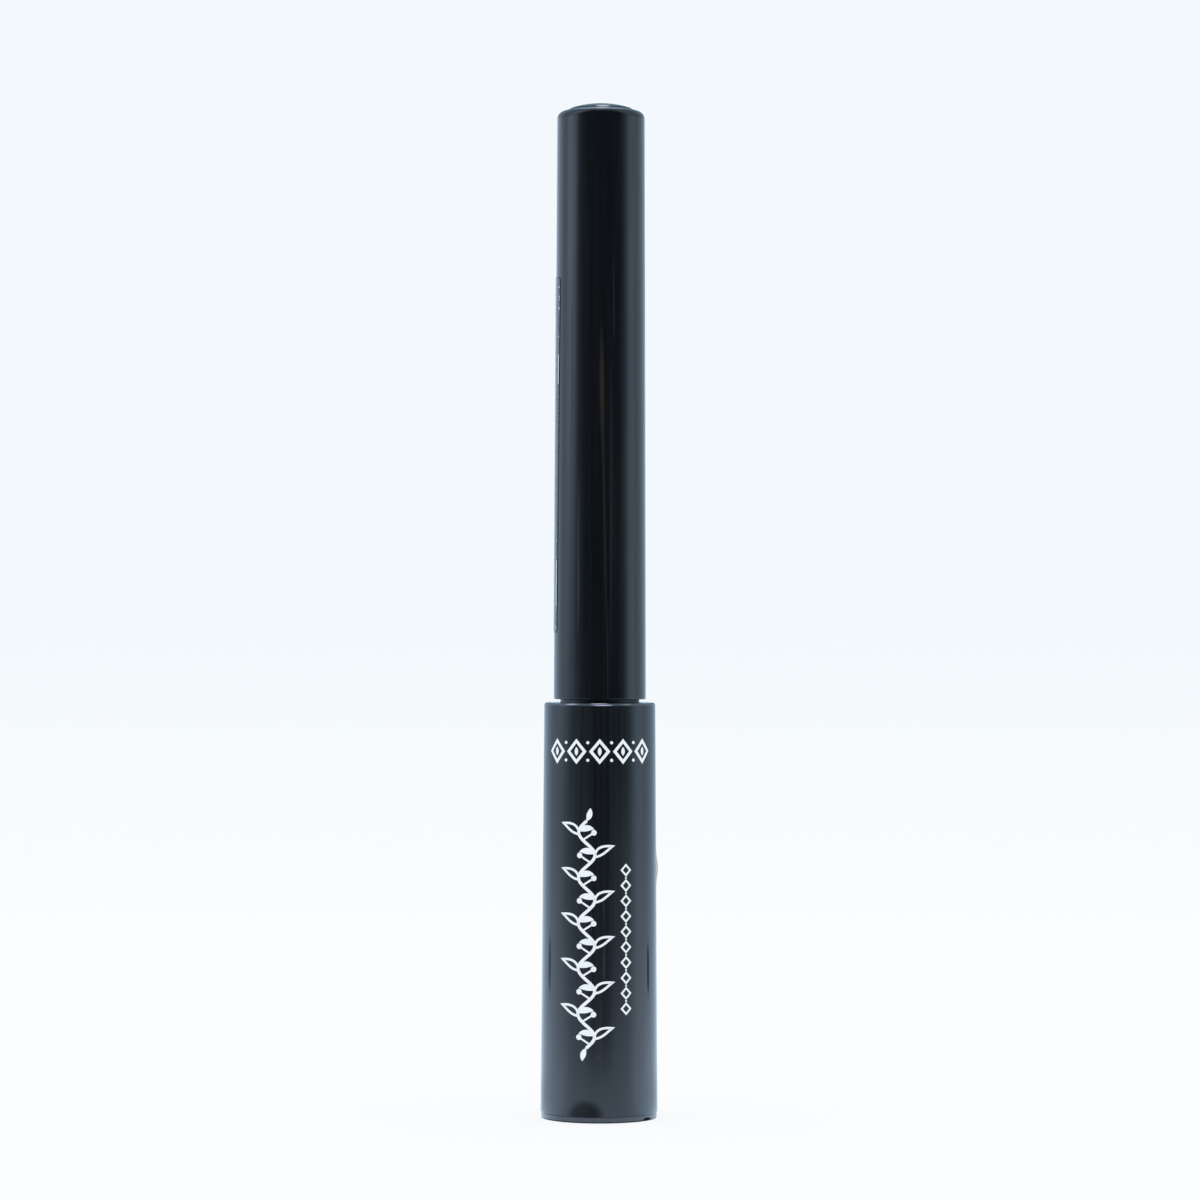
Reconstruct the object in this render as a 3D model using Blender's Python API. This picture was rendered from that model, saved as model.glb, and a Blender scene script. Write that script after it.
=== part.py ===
# A slim liquid eyeliner: a wide lower bottle with a long, narrow screw cap that carries the brush.
# Metres, +Z up. The origin is the centre of the foot, and the printed front faces -Y.

import math

import bmesh
import bpy

MM = 0.001

# Overall sizes
CAP_MOUTH_DIAMETER = 11.88 * MM
CAP_TAPER = 0.30 * MM  # lost from the cap's radius between its mouth and its shoulder
CAP_WALL_HEIGHT = 74.68 * MM  # the straight drafted side, from the mouth to the shoulder
CAP_GAP = 0.45 * MM  # the slit between the bottle's top and the cap's mouth
SHOULDER_STEP = 1.21 * MM  # how far the bottle's top stands out past the cap's mouth
BOTTLE_HEIGHT = 53.4 * MM
BOTTLE_FLARE = 0.38 * MM  # gained by the bottle's radius between its top and its foot

# Clearances
PRESS_GAP = 0.05 * MM  # between pieces that are pressed or glued together
SEAT_GAP = 0.05 * MM  # between faces that rest on each other
RUNNING_GAP = 0.1 * MM  # between pieces that turn or slide past each other
FILM_GAP = 0.02 * MM  # the glue line under a film

# Bottle sleeve
SLEEVE_WALL = 0.9 * MM
SLEEVE_ROOF = 1.2 * MM
SLEEVE_EDGE_RADIUS = 0.35 * MM
SLEEVE_FOOT_BEVEL = 0.08 * MM

# Base plug
FLANGE_INSET = 0.16 * MM  # how far the flange's rim lies inside the sleeve's foot
FLANGE_THICKNESS = 0.6 * MM
FLANGE_EDGE_RADIUS = 0.15 * MM
PLUG_FLOOR = 1.1 * MM
PLUG_SKIRT_HEIGHT = 5.0 * MM
PLUG_LEAD_IN = 0.3 * MM
PLUG_RECESS_INSET = 2.6 * MM  # width of the ring that the object stands on
PLUG_RECESS_DEPTH = 0.3 * MM
CRADLE_INSET = 1.6 * MM  # from the vial's side in to the ring that carries it
CRADLE_WALL = 0.9 * MM
CRADLE_HEIGHT = 1.9 * MM

# Vial
VIAL_CLEARANCE = 0.35 * MM
VIAL_WALL = 0.9 * MM
VIAL_FLOOR = 1.0 * MM
VIAL_CORNER_RADIUS = 0.8 * MM
VIAL_SHOULDER_BEVEL = 0.3 * MM
COLLAR_COVER = 1.05 * MM  # length of the collar inside the cap's mouth
COLLAR_BEVEL = 0.15 * MM
NECK_HEIGHT = 8.3 * MM
NECK_WALL = 0.8 * MM
NECK_RIM_BEVEL = 0.2 * MM

# Wiper
WIPER_WALL = 0.5 * MM
WIPER_FLANGE_THICKNESS = 0.45 * MM
WIPER_FLANGE_INSET = 0.15 * MM
WIPER_SLEEVE_LENGTH = 3.6 * MM
WIPER_FUNNEL_LENGTH = 2.2 * MM
WIPER_LIP_LENGTH = 0.9 * MM
WIPER_LIP_WALL = 0.35 * MM
WIPER_BEAD_PROUD = 0.03 * MM
WIPER_MOUTH_BEVEL = 0.2 * MM

# Stem, ferrule and bristles
STEM_DIAMETER = 2.5 * MM
STEM_END_DIAMETER = 1.9 * MM
STEM_BARREL_SHARE = 0.45  # of the free length, above which the stem doesn't taper
STEM_HEAD_LENGTH = 6.4 * MM
STEM_HEAD_BEVEL = 0.25 * MM
STEM_SPIGOT_INSET = 0.3 * MM
STEM_SPIGOT_LENGTH = 2.4 * MM
STOP_FLANGE_CLEARANCE = 0.75 * MM
STOP_FLANGE_THICKNESS = 0.45 * MM
FERRULE_LENGTH = 5.0 * MM
FERRULE_NOSE_LENGTH = 1.9 * MM
FERRULE_NOSE_WALL = 0.18 * MM
TUFT_ROOT_DIAMETER = 0.76 * MM
TUFT_ROOT_LENGTH = 1.5 * MM
TUFT_LENGTH = 9.0 * MM
TUFT_SWELL = 0.13 * MM
TUFT_SWELL_SHARE = 0.25  # of the tuft's length, where it is fattest
TUFT_POINT_DIAMETER = 0.08 * MM
TIP_CLEARANCE = 6.0 * MM  # from the tip of the bristles down to the vial's floor

# Mixing ball
BALL_DIAMETER = 2.5 * MM
BALL_CLEARANCE = 0.2 * MM

# Inner cap and its seal
INNER_CAP_WALL = 0.58 * MM
THREAD_ROOM = 0.5 * MM  # the radial space that the two threads share
INNER_CAP_ROOF = 1.4 * MM
INNER_CAP_CROWN = 6.6 * MM  # height of the upper skirt and the socket above the roof
INNER_CAP_MOUTH_BEVEL = 0.2 * MM
SOCKET_WALL = 0.9 * MM
SPLINE_DEPTH = 0.12 * MM
LINER_THICKNESS = 0.6 * MM
LINER_INSET = 0.25 * MM

# Cap shell and its end disc
CAP_WALL = 0.74 * MM
CAP_MOUTH_BEVEL = 0.12 * MM
CAP_SHOULDER_RADIUS = 1.045 * MM
CAP_SHOULDER_SLOPE = math.radians(18)
CAP_CEILING = 1.2 * MM
CAP_CEILING_RADIUS = 0.6 * MM
DISC_MARGIN = 1.64 * MM  # from the cap's side in to the rim of the end disc
DISC_RIM = 0.6 * MM
DISC_PROUD = 0.11 * MM
DISC_CROWN = 0.65 * MM
DISC_LEDGE = 0.62 * MM
DISC_WALL = 0.7 * MM
SPIGOT_LENGTH = 2.4 * MM
SPIGOT_LEAD_IN = 0.2 * MM

# Clear films
FILM_THICKNESS = 0.065 * MM
CAP_FILM_START = 8.75 * MM  # its lower edge above the cap's mouth
CAP_FILM_HEIGHT = 45.6 * MM
CAP_FILM_CORNER = 1.8 * MM
CAP_FILM_FIRST_ANGLE = math.radians(-65)  # from the front, positive to the right
CAP_FILM_SWEEP = math.radians(-180)
STICKER_DIAMETER = 11.0 * MM
STICKER_HEIGHT = 31.6 * MM
STICKER_ANGLE = math.radians(129)

# Facets
SEGMENTS = 48
STEM_SEGMENTS = 24
ARC_STEPS = 5
DOME_STEPS = 6
FILM_ROWS = 3
BALL_SUBDIVISIONS = 3
FULL_TURN = 2 * math.pi
FRONT_ANGLE = -FULL_TURN / 4  # the front, -Y, measured from +X
SMOOTH_ANGLE = math.radians(35)
MERGE_SHARE = 1e-5  # of the cap's diameter, within which points on the axis are one

# Radii and levels that follow from the sizes above
capMouthRadius = CAP_MOUTH_DIAMETER / 2
capTopRadius = capMouthRadius - CAP_TAPER
capMouth = BOTTLE_HEIGHT + CAP_GAP
capWallTop = capMouth + CAP_WALL_HEIGHT
capDraft = CAP_TAPER / CAP_WALL_HEIGHT

sleeveFoot = FLANGE_THICKNESS + SEAT_GAP
bottleTopRadius = capMouthRadius + SHOULDER_STEP
bottleFootRadius = bottleTopRadius + BOTTLE_FLARE
sleeveDraft = BOTTLE_FLARE / (BOTTLE_HEIGHT - sleeveFoot)

plugTop = sleeveFoot + PLUG_SKIRT_HEIGHT
cradleTop = PLUG_FLOOR + CRADLE_HEIGHT
vialRadius = bottleTopRadius - SLEEVE_WALL - VIAL_CLEARANCE
vialInside = vialRadius - VIAL_WALL
vialBottom = cradleTop + SEAT_GAP
vialFloor = vialBottom + VIAL_FLOOR
vialShoulder = BOTTLE_HEIGHT - SLEEVE_ROOF - SEAT_GAP
collarTop = capMouth + COLLAR_COVER
neckRim = collarTop + NECK_HEIGHT

wiperFlangeTop = neckRim + SEAT_GAP + WIPER_FLANGE_THICKNESS
linerBottom = wiperFlangeTop + SEAT_GAP
innerCapBottom = collarTop + RUNNING_GAP
roofBottom = linerBottom + LINER_THICKNESS + SEAT_GAP
roofTop = roofBottom + INNER_CAP_ROOF
innerCapTop = roofTop + INNER_CAP_CROWN


def cap_radius(z):
    return capMouthRadius - capDraft * (z - capMouth)


def sleeve_radius(z):
    return bottleTopRadius + sleeveDraft * (BOTTLE_HEIGHT - z)


innerCapRadius = cap_radius(innerCapTop) - CAP_WALL - PRESS_GAP
innerCapBore = innerCapRadius - INNER_CAP_WALL
neckRadius = innerCapBore - THREAD_ROOM
neckBore = neckRadius - NECK_WALL
collarRadius = innerCapRadius
wiperRadius = neckBore - PRESS_GAP
wiperInside = wiperRadius - WIPER_WALL
stemRadius = STEM_DIAMETER / 2
stemEndRadius = STEM_END_DIAMETER / 2
wiperLipRadius = stemRadius + RUNNING_GAP
socketRadius = stemRadius + PRESS_GAP

tuftTip = vialFloor + TIP_CLEARANCE
ferruleBottom = tuftTip + TUFT_LENGTH
stemEnd = ferruleBottom + FERRULE_LENGTH
tuftRootRadius = TUFT_ROOT_DIAMETER / 2
spigotRadius = stemEndRadius - STEM_SPIGOT_INSET

discRadius = capTopRadius - DISC_MARGIN
shoulderTurn = FULL_TURN / 4 - CAP_SHOULDER_SLOPE
shoulderEndRadius = capTopRadius - CAP_SHOULDER_RADIUS * (1 - math.cos(shoulderTurn))
shoulderEnd = capWallTop + CAP_SHOULDER_RADIUS * math.sin(shoulderTurn)
discSeatRadius = discRadius + PRESS_GAP
discSeatTop = shoulderEnd + (shoulderEndRadius - discSeatRadius) * math.tan(CAP_SHOULDER_SLOPE)
discSeat = discSeatTop - DISC_RIM
discRimTop = discSeatTop + DISC_PROUD
capCeiling = discSeat - CAP_CEILING
endHoleRadius = discRadius - DISC_LEDGE


def clear_scene():
    for old in list(bpy.data.objects):
        bpy.data.objects.remove(old, do_unlink=True)


def material(name, color, roughness, metallic=0.0, alpha=1.0):
    made = bpy.data.materials.new(name)
    made.use_nodes = True
    shader = made.node_tree.nodes["Principled BSDF"]
    shader.inputs["Base Color"].default_value = (*color, 1.0)
    shader.inputs["Roughness"].default_value = roughness
    shader.inputs["Metallic"].default_value = metallic
    shader.inputs["Alpha"].default_value = alpha
    made.diffuse_color = (*color, alpha)
    return made


def empty_at(name, z):
    made = bpy.data.objects.new(name, None)
    made.location.z = z
    bpy.context.scene.collection.objects.link(made)
    return made


def add_piece(name, bm, finish, parent, datum, x=0.0):
    """Puts the mesh, drawn in world places, under its parent with the piece's origin at the datum."""
    bmesh.ops.translate(bm, verts=bm.verts, vec=(-x, 0, -datum))
    bmesh.ops.recalc_face_normals(bm, faces=bm.faces)
    mesh = bpy.data.meshes.new(name)
    bm.to_mesh(mesh)
    bm.free()
    mesh.materials.append(finish)
    mesh.shade_smooth()
    mesh.set_sharp_from_angle(angle=SMOOTH_ANGLE)
    piece = bpy.data.objects.new(name, mesh)
    piece.parent = parent
    piece.location = (x, 0, datum - parent.location.z)
    bpy.context.scene.collection.objects.link(piece)
    return piece


def arc(centre_r, centre_z, radius, start, end, steps=ARC_STEPS):
    """Points of a round stretch of an outline; angles run from outward, 0, to upward, a quarter turn."""
    return [
        (centre_r + radius * math.cos(a), centre_z + radius * math.sin(a))
        for a in (start + (end - start) * i / steps for i in range(steps + 1))
    ]


def turned(outline, segments=SEGMENTS):
    """Spins a closed outline of (radius, z) about Z. Points on the axis become one."""
    bm = bmesh.new()
    ring = [bm.verts.new((r, 0, z)) for r, z in outline]
    for i, corner in enumerate(ring):
        after = ring[(i + 1) % len(ring)]
        if corner.co.x > 0 or after.co.x > 0:
            bm.edges.new((corner, after))
    bmesh.ops.spin(
        bm,
        geom=bm.verts[:] + bm.edges[:],
        axis=(0, 0, 1),
        cent=(0, 0, 0),
        angle=FULL_TURN,
        steps=segments,
        use_merge=True,
    )
    bmesh.ops.remove_doubles(bm, verts=bm.verts, dist=MERGE_SHARE * CAP_MOUTH_DIAMETER)
    return bm


def add_splines(bm, radius, low, high, segments):
    """Draws every second corner of an outer wall inwards, which leaves upright V-shaped ribs."""
    step = FULL_TURN / segments
    for corner in bm.verts:
        on_wall = math.hypot(corner.co.x, corner.co.y) > radius - SPLINE_DEPTH / 2
        place = round(math.atan2(corner.co.y, corner.co.x) / step)
        if on_wall and low < corner.co.z < high and place % 2:
            share = (radius - SPLINE_DEPTH) / radius
            corner.co.x *= share
            corner.co.y *= share


def bottle_sleeve(finish, parent):
    hole = collarRadius + RUNNING_GAP
    foot_inside = bottleFootRadius - SLEEVE_WALL
    roof_under = BOTTLE_HEIGHT - SLEEVE_ROOF
    outline = [
        (foot_inside, sleeveFoot),
        (bottleFootRadius - SLEEVE_FOOT_BEVEL, sleeveFoot),
        (bottleFootRadius, sleeveFoot + SLEEVE_FOOT_BEVEL),
    ]
    outline += arc(
        bottleTopRadius - SLEEVE_EDGE_RADIUS,
        BOTTLE_HEIGHT - SLEEVE_EDGE_RADIUS,
        SLEEVE_EDGE_RADIUS,
        0,
        FULL_TURN / 4,
    )
    outline += [
        (hole, BOTTLE_HEIGHT),
        (hole, roof_under),
        (sleeve_radius(roof_under) - SLEEVE_WALL, roof_under),
    ]
    return add_piece("bottle_sleeve", turned(outline), finish, parent, sleeveFoot)


def base_plug(finish, parent):
    flange = bottleFootRadius - FLANGE_INSET
    skirt = sleeve_radius(plugTop) - SLEEVE_WALL - PRESS_GAP
    inside = vialRadius + RUNNING_GAP
    recess = flange - PLUG_RECESS_INSET
    cradle = vialRadius - CRADLE_INSET
    outline = [(0, PLUG_RECESS_DEPTH), (recess - PLUG_RECESS_DEPTH, PLUG_RECESS_DEPTH), (recess, 0)]
    outline += arc(
        flange - FLANGE_EDGE_RADIUS, FLANGE_EDGE_RADIUS, FLANGE_EDGE_RADIUS, -FULL_TURN / 4, 0
    )
    outline += [
        (flange, FLANGE_THICKNESS),
        (skirt, FLANGE_THICKNESS),
        (skirt, plugTop - PLUG_LEAD_IN),
        (skirt - PLUG_LEAD_IN, plugTop),
        (inside, plugTop),
        (inside, PLUG_FLOOR),
        (cradle, PLUG_FLOOR),
        (cradle, cradleTop),
        (cradle - CRADLE_WALL, cradleTop),
        (cradle - CRADLE_WALL, PLUG_FLOOR),
        (0, PLUG_FLOOR),
    ]
    return add_piece("base_plug", turned(outline), finish, parent, 0)


def vial(finish, parent):
    throat = vialShoulder - VIAL_WALL
    shoulder_under = throat - (vialInside - neckBore)
    inner_corner = VIAL_CORNER_RADIUS
    outline = [(0, vialBottom)]
    outline += arc(
        vialRadius - VIAL_CORNER_RADIUS,
        vialBottom + VIAL_CORNER_RADIUS,
        VIAL_CORNER_RADIUS,
        -FULL_TURN / 4,
        0,
    )
    outline += [
        (vialRadius, vialShoulder - VIAL_SHOULDER_BEVEL),
        (vialRadius - VIAL_SHOULDER_BEVEL, vialShoulder),
        (collarRadius, vialShoulder),
        (collarRadius, collarTop - COLLAR_BEVEL),
        (collarRadius - COLLAR_BEVEL, collarTop),
        (neckRadius, collarTop),
        (neckRadius, neckRim - NECK_RIM_BEVEL),
        (neckRadius - NECK_RIM_BEVEL, neckRim),
        (neckBore, neckRim),
        (neckBore, throat),
        (vialInside, shoulder_under),
    ]
    outline += arc(
        vialInside - inner_corner, vialFloor + inner_corner, inner_corner, 0, -FULL_TURN / 4
    )
    outline += [(0, vialFloor)]
    return add_piece("vial", turned(outline), finish, parent, vialBottom)


def wiper(finish, parent):
    seat = neckRim + SEAT_GAP
    funnel_top = wiperFlangeTop - WIPER_SLEEVE_LENGTH
    funnel_bottom = funnel_top - WIPER_FUNNEL_LENGTH
    lip_bottom = funnel_bottom - WIPER_LIP_LENGTH
    flange = neckRadius - WIPER_FLANGE_INSET
    outline = [
        (wiperLipRadius + WIPER_LIP_WALL, lip_bottom),
        (wiperLipRadius + WIPER_LIP_WALL, funnel_bottom),
        (wiperRadius, funnel_top - WIPER_WALL),
        (wiperRadius + WIPER_BEAD_PROUD, (funnel_top + seat) / 2),
        (wiperRadius, seat),
        (flange, seat),
        (flange, wiperFlangeTop),
        (wiperInside + WIPER_MOUTH_BEVEL, wiperFlangeTop),
        (wiperInside, wiperFlangeTop - WIPER_MOUTH_BEVEL),
        (wiperInside, funnel_top),
        (wiperLipRadius, funnel_bottom),
        (wiperLipRadius, lip_bottom),
    ]
    return add_piece("wiper", turned(outline), finish, parent, seat)


def stem(finish, parent):
    flange_top = linerBottom - SEAT_GAP
    flange_bottom = flange_top - STOP_FLANGE_THICKNESS
    flange = wiperInside - STOP_FLANGE_CLEARANCE
    head_top = roofBottom + STEM_HEAD_LENGTH
    taper_top = flange_bottom - (flange_bottom - stemEnd) * STEM_BARREL_SHARE
    outline = [
        (0, stemEnd - STEM_SPIGOT_LENGTH),
        (spigotRadius, stemEnd - STEM_SPIGOT_LENGTH),
        (spigotRadius, stemEnd),
        (stemEndRadius, stemEnd),
        (stemRadius, taper_top),
        (stemRadius, flange_bottom),
        (flange, flange_bottom),
        (flange, flange_top),
        (stemRadius, flange_top),
        (stemRadius, roofTop),
        (stemRadius, head_top - STEM_HEAD_BEVEL),
        (stemRadius - STEM_HEAD_BEVEL, head_top),
        (0, head_top),
    ]
    bm = turned(outline, STEM_SEGMENTS)
    add_splines(bm, stemRadius, roofBottom, head_top, STEM_SEGMENTS)
    return add_piece("stem", bm, finish, parent, flange_top)


def brush_ferrule(finish, parent):
    top = stemEnd - SEAT_GAP
    socket_bottom = stemEnd - STEM_SPIGOT_LENGTH - SEAT_GAP
    nose_top = ferruleBottom + FERRULE_NOSE_LENGTH
    bore = tuftRootRadius + PRESS_GAP
    outline = [
        (bore, ferruleBottom),
        (bore + FERRULE_NOSE_WALL, ferruleBottom),
        (stemEndRadius, nose_top),
        (stemEndRadius, top),
        (spigotRadius + PRESS_GAP, top),
        (spigotRadius + PRESS_GAP, socket_bottom),
        (bore, socket_bottom),
    ]
    return add_piece("brush_ferrule", turned(outline, STEM_SEGMENTS), finish, parent, ferruleBottom)


def brush_tuft(finish, parent):
    fattest = ferruleBottom - TUFT_LENGTH * TUFT_SWELL_SHARE
    below = fattest - tuftTip
    point = TUFT_POINT_DIAMETER / 2
    full = tuftRootRadius + TUFT_SWELL
    outline = [(0, tuftTip)]
    outline += [
        (
            point + (full - point) * math.sin(FULL_TURN / 4 * i / DOME_STEPS),
            tuftTip + below * i / DOME_STEPS,
        )
        for i in range(DOME_STEPS + 1)
    ]
    outline += [
        (tuftRootRadius, ferruleBottom),
        (tuftRootRadius, ferruleBottom + TUFT_ROOT_LENGTH),
        (0, ferruleBottom + TUFT_ROOT_LENGTH),
    ]
    return add_piece("brush_tuft", turned(outline, STEM_SEGMENTS), finish, parent, ferruleBottom)


def mixing_ball(finish, parent):
    radius = BALL_DIAMETER / 2
    x = vialInside - radius - BALL_CLEARANCE
    z = vialFloor + radius + SEAT_GAP
    bm = bmesh.new()
    bmesh.ops.create_icosphere(bm, subdivisions=BALL_SUBDIVISIONS, radius=radius)
    bmesh.ops.translate(bm, verts=bm.verts, vec=(x, 0, z))
    return add_piece("mixing_ball", bm, finish, parent, z, x)


def inner_cap(finish, parent):
    socket = socketRadius + SOCKET_WALL
    outline = [
        (innerCapBore + INNER_CAP_MOUTH_BEVEL, innerCapBottom),
        (innerCapRadius, innerCapBottom),
        (innerCapRadius, roofTop),
        (innerCapRadius, innerCapTop),
        (innerCapBore, innerCapTop),
        (innerCapBore, roofTop),
        (socket, roofTop),
        (socket, innerCapTop),
        (socketRadius, innerCapTop),
        (socketRadius, roofBottom),
        (innerCapBore, roofBottom),
        (innerCapBore, innerCapBottom + INNER_CAP_MOUTH_BEVEL),
    ]
    bm = turned(outline)
    add_splines(bm, innerCapRadius, roofBottom, innerCapTop + SPLINE_DEPTH, SEGMENTS)
    return add_piece("inner_cap", bm, finish, parent, innerCapBottom)


def seal_liner(finish, parent):
    hole = stemRadius + RUNNING_GAP
    rim = innerCapBore - LINER_INSET
    outline = [
        (hole, linerBottom),
        (rim, linerBottom),
        (rim, linerBottom + LINER_THICKNESS),
        (hole, linerBottom + LINER_THICKNESS),
    ]
    return add_piece("seal_liner", turned(outline), finish, parent, linerBottom)


def cap_shell(finish, parent):
    mouth_inside = capMouthRadius - CAP_WALL
    bore_top = capCeiling - CAP_CEILING_RADIUS
    ceiling_corner = cap_radius(bore_top) - CAP_WALL - CAP_CEILING_RADIUS
    outline = [
        (mouth_inside + CAP_MOUTH_BEVEL, capMouth),
        (capMouthRadius - CAP_MOUTH_BEVEL, capMouth),
        (capMouthRadius, capMouth + CAP_MOUTH_BEVEL),
    ]
    outline += arc(
        capTopRadius - CAP_SHOULDER_RADIUS, capWallTop, CAP_SHOULDER_RADIUS, 0, shoulderTurn
    )
    outline += [
        (discSeatRadius, discSeatTop),
        (discSeatRadius, discSeat),
        (endHoleRadius, discSeat),
        (endHoleRadius, capCeiling),
    ]
    outline += arc(ceiling_corner, bore_top, CAP_CEILING_RADIUS, FULL_TURN / 4, 0)
    outline += [(mouth_inside, capMouth + CAP_MOUTH_BEVEL)]
    return add_piece("cap_shell", turned(outline), finish, parent, capMouth)


def cap_end_disc(finish, parent):
    sphere = (discRadius**2 + DISC_CROWN**2) / (2 * DISC_CROWN)
    centre = discRimTop + DISC_CROWN - sphere
    seat = discSeat + SEAT_GAP
    spigot = endHoleRadius - PRESS_GAP
    spigot_bottom = seat - SPIGOT_LENGTH
    inside = spigot - DISC_WALL
    half_angle = math.asin(discRadius / sphere)
    outline = [
        (inside, spigot_bottom),
        (spigot - SPIGOT_LEAD_IN, spigot_bottom),
        (spigot, spigot_bottom + SPIGOT_LEAD_IN),
        (spigot, seat),
        (discRadius, seat),
    ]
    outline += arc(
        0, centre, sphere, FULL_TURN / 4 - half_angle, FULL_TURN / 4, DOME_STEPS
    )[:-1]
    outline += [(0, centre + sphere), (0, seat), (inside, seat)]
    return add_piece("cap_end_disc", turned(outline), finish, parent, discSeat)


def film_columns(first, sweep):
    """Angles, from the front, of the wall's facet corners that a film's span covers."""
    step = FULL_TURN / SEGMENTS
    low, high = sorted((first, first + sweep))
    return [i * step for i in range(math.ceil(low / step), math.floor(high / step) + 1)]


def add_film(name, finish, parent, datum, columns, radius_at):
    """A closed film on a drafted wall, from columns of (angle, low z, high z) on its facet corners."""
    bm = bmesh.new()
    grid = []
    for angle, low, high in columns:
        turn = FRONT_ANGLE + angle
        rows = [low + (high - low) * i / FILM_ROWS for i in range(FILM_ROWS + 1)]
        grid.append(
            [
                [
                    bm.verts.new((
                        (radius_at(z) + out) * math.cos(turn),
                        (radius_at(z) + out) * math.sin(turn),
                        z,
                    ))
                    for z in rows
                ]
                for out in (FILM_GAP, FILM_GAP + FILM_THICKNESS)
            ]
        )
    for (inner, outer), (next_inner, next_outer) in zip(grid, grid[1:]):
        for i in range(FILM_ROWS):
            bm.faces.new((outer[i], next_outer[i], next_outer[i + 1], outer[i + 1]))
            bm.faces.new((inner[i + 1], next_inner[i + 1], next_inner[i], inner[i]))
        bm.faces.new((inner[0], next_inner[0], next_outer[0], outer[0]))
        bm.faces.new((outer[-1], next_outer[-1], next_inner[-1], inner[-1]))
    for (inner, outer), way in ((grid[0], 1), (grid[-1], -1)):
        for i in range(FILM_ROWS):
            bm.faces.new((inner[i], outer[i], outer[i + 1], inner[i + 1])[::way])
    return add_piece(name, bm, finish, parent, datum)


def cap_film(finish, parent):
    low = capMouth + CAP_FILM_START
    high = low + CAP_FILM_HEIGHT
    angles = film_columns(CAP_FILM_FIRST_ANGLE, CAP_FILM_SWEEP)
    columns = []
    for angle in angles:
        edge = min(angle - angles[0], angles[-1] - angle) * capMouthRadius
        short = CAP_FILM_CORNER - min(edge, CAP_FILM_CORNER)
        cut = CAP_FILM_CORNER - math.sqrt(CAP_FILM_CORNER**2 - short**2)
        columns.append((angle, low + cut, high - cut))
    return add_film("cap_film", finish, parent, capMouth, columns, cap_radius)


def bottle_sticker(finish, parent):
    radius = STICKER_DIAMETER / 2
    half_span = radius / bottleTopRadius
    columns = []
    for angle in film_columns(STICKER_ANGLE - half_span, 2 * half_span):
        across = (angle - STICKER_ANGLE) * bottleTopRadius
        half = math.sqrt(radius**2 - across**2)
        columns.append((angle, STICKER_HEIGHT - half, STICKER_HEIGHT + half))
    return add_film("bottle_sticker", finish, parent, sleeveFoot, columns, sleeve_radius)


def build():
    clear_scene()
    gloss_black = material("gloss_black_plastic", (0.012, 0.013, 0.014), 0.22)
    base_black = material("base_black_plastic", (0.035, 0.036, 0.04), 0.4)
    satin_black = material("satin_black_plastic", (0.014, 0.014, 0.015), 0.45)
    soft_white = material("soft_white_plastic", (0.78, 0.78, 0.75), 0.5)
    fibre = material("brush_fibre", (0.03, 0.022, 0.018), 0.6)
    steel = material("ball_steel", (0.6, 0.6, 0.62), 0.2, metallic=1.0)
    clear = material("clear_film", (0.9, 0.92, 0.92), 0.15, alpha=0.2)

    bottle = empty_at("bottle_base", 0)
    ball_path = empty_at("ball_path", vialFloor)
    applicator = empty_at("applicator_axis", neckRim)
    cap = empty_at("cap_axis", capMouth)

    bottle_sleeve(gloss_black, bottle)
    base_plug(base_black, bottle)
    vial(satin_black, bottle)
    wiper(soft_white, bottle)
    bottle_sticker(clear, bottle)
    mixing_ball(steel, ball_path)
    stem(satin_black, applicator)
    brush_ferrule(satin_black, applicator)
    brush_tuft(fibre, applicator)
    inner_cap(satin_black, cap)
    seal_liner(soft_white, cap)
    cap_shell(gloss_black, cap)
    cap_end_disc(gloss_black, cap)
    cap_film(clear, cap)


build()
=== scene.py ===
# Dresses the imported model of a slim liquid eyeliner.
# Sizes are in millimetres, angles in degrees; a mesh becomes metres in placePiece.
import math

import bmesh
import bpy
from mathutils import Matrix, Vector


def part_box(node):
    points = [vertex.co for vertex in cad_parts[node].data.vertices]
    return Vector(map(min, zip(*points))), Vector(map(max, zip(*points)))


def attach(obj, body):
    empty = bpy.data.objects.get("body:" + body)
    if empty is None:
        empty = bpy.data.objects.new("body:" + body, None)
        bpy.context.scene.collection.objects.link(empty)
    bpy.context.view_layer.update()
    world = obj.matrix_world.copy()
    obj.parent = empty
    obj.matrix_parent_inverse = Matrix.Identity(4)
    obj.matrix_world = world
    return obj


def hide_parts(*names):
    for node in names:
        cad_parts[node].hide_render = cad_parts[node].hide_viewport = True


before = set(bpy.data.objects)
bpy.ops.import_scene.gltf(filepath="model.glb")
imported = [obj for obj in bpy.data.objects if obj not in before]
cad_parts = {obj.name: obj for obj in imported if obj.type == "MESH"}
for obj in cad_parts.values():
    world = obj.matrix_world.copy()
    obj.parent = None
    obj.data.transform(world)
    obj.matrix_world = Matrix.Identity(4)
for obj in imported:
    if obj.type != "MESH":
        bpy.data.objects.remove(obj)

mm = 0.001
quarterTurn = math.pi / 2
fullTurn = 2 * math.pi
mergeDistance = 0.0005
scene = bpy.context.scene
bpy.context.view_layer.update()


class Sizes(dict):
    # a dictionary whose values can also be read as sizes.wall
    __getattr__ = dict.__getitem__


def feed(tree, node, sockets):
    for socket, value in sockets.items():
        if isinstance(value, bpy.types.NodeSocket):
            tree.links.new(value, node.inputs[socket])
        else:
            node.inputs[socket].default_value = value


def addNode(tree, kind, sockets=None, **settings):
    node = tree.nodes.new(kind)
    for setting, value in settings.items():
        setattr(node, setting, value)
    feed(tree, node, sockets or {})
    return node


def treeOf(*values):
    # sums are made in the node tree that their sockets are in
    return next(value.id_data for value in values if isinstance(value, bpy.types.NodeSocket))


def calc(operation, *values):
    return addNode(treeOf(*values), "ShaderNodeMath", dict(enumerate(values)), operation=operation).outputs[0]


def times(first, *others):
    for value in others:
        first = calc("MULTIPLY", first, value)
    return first


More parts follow.
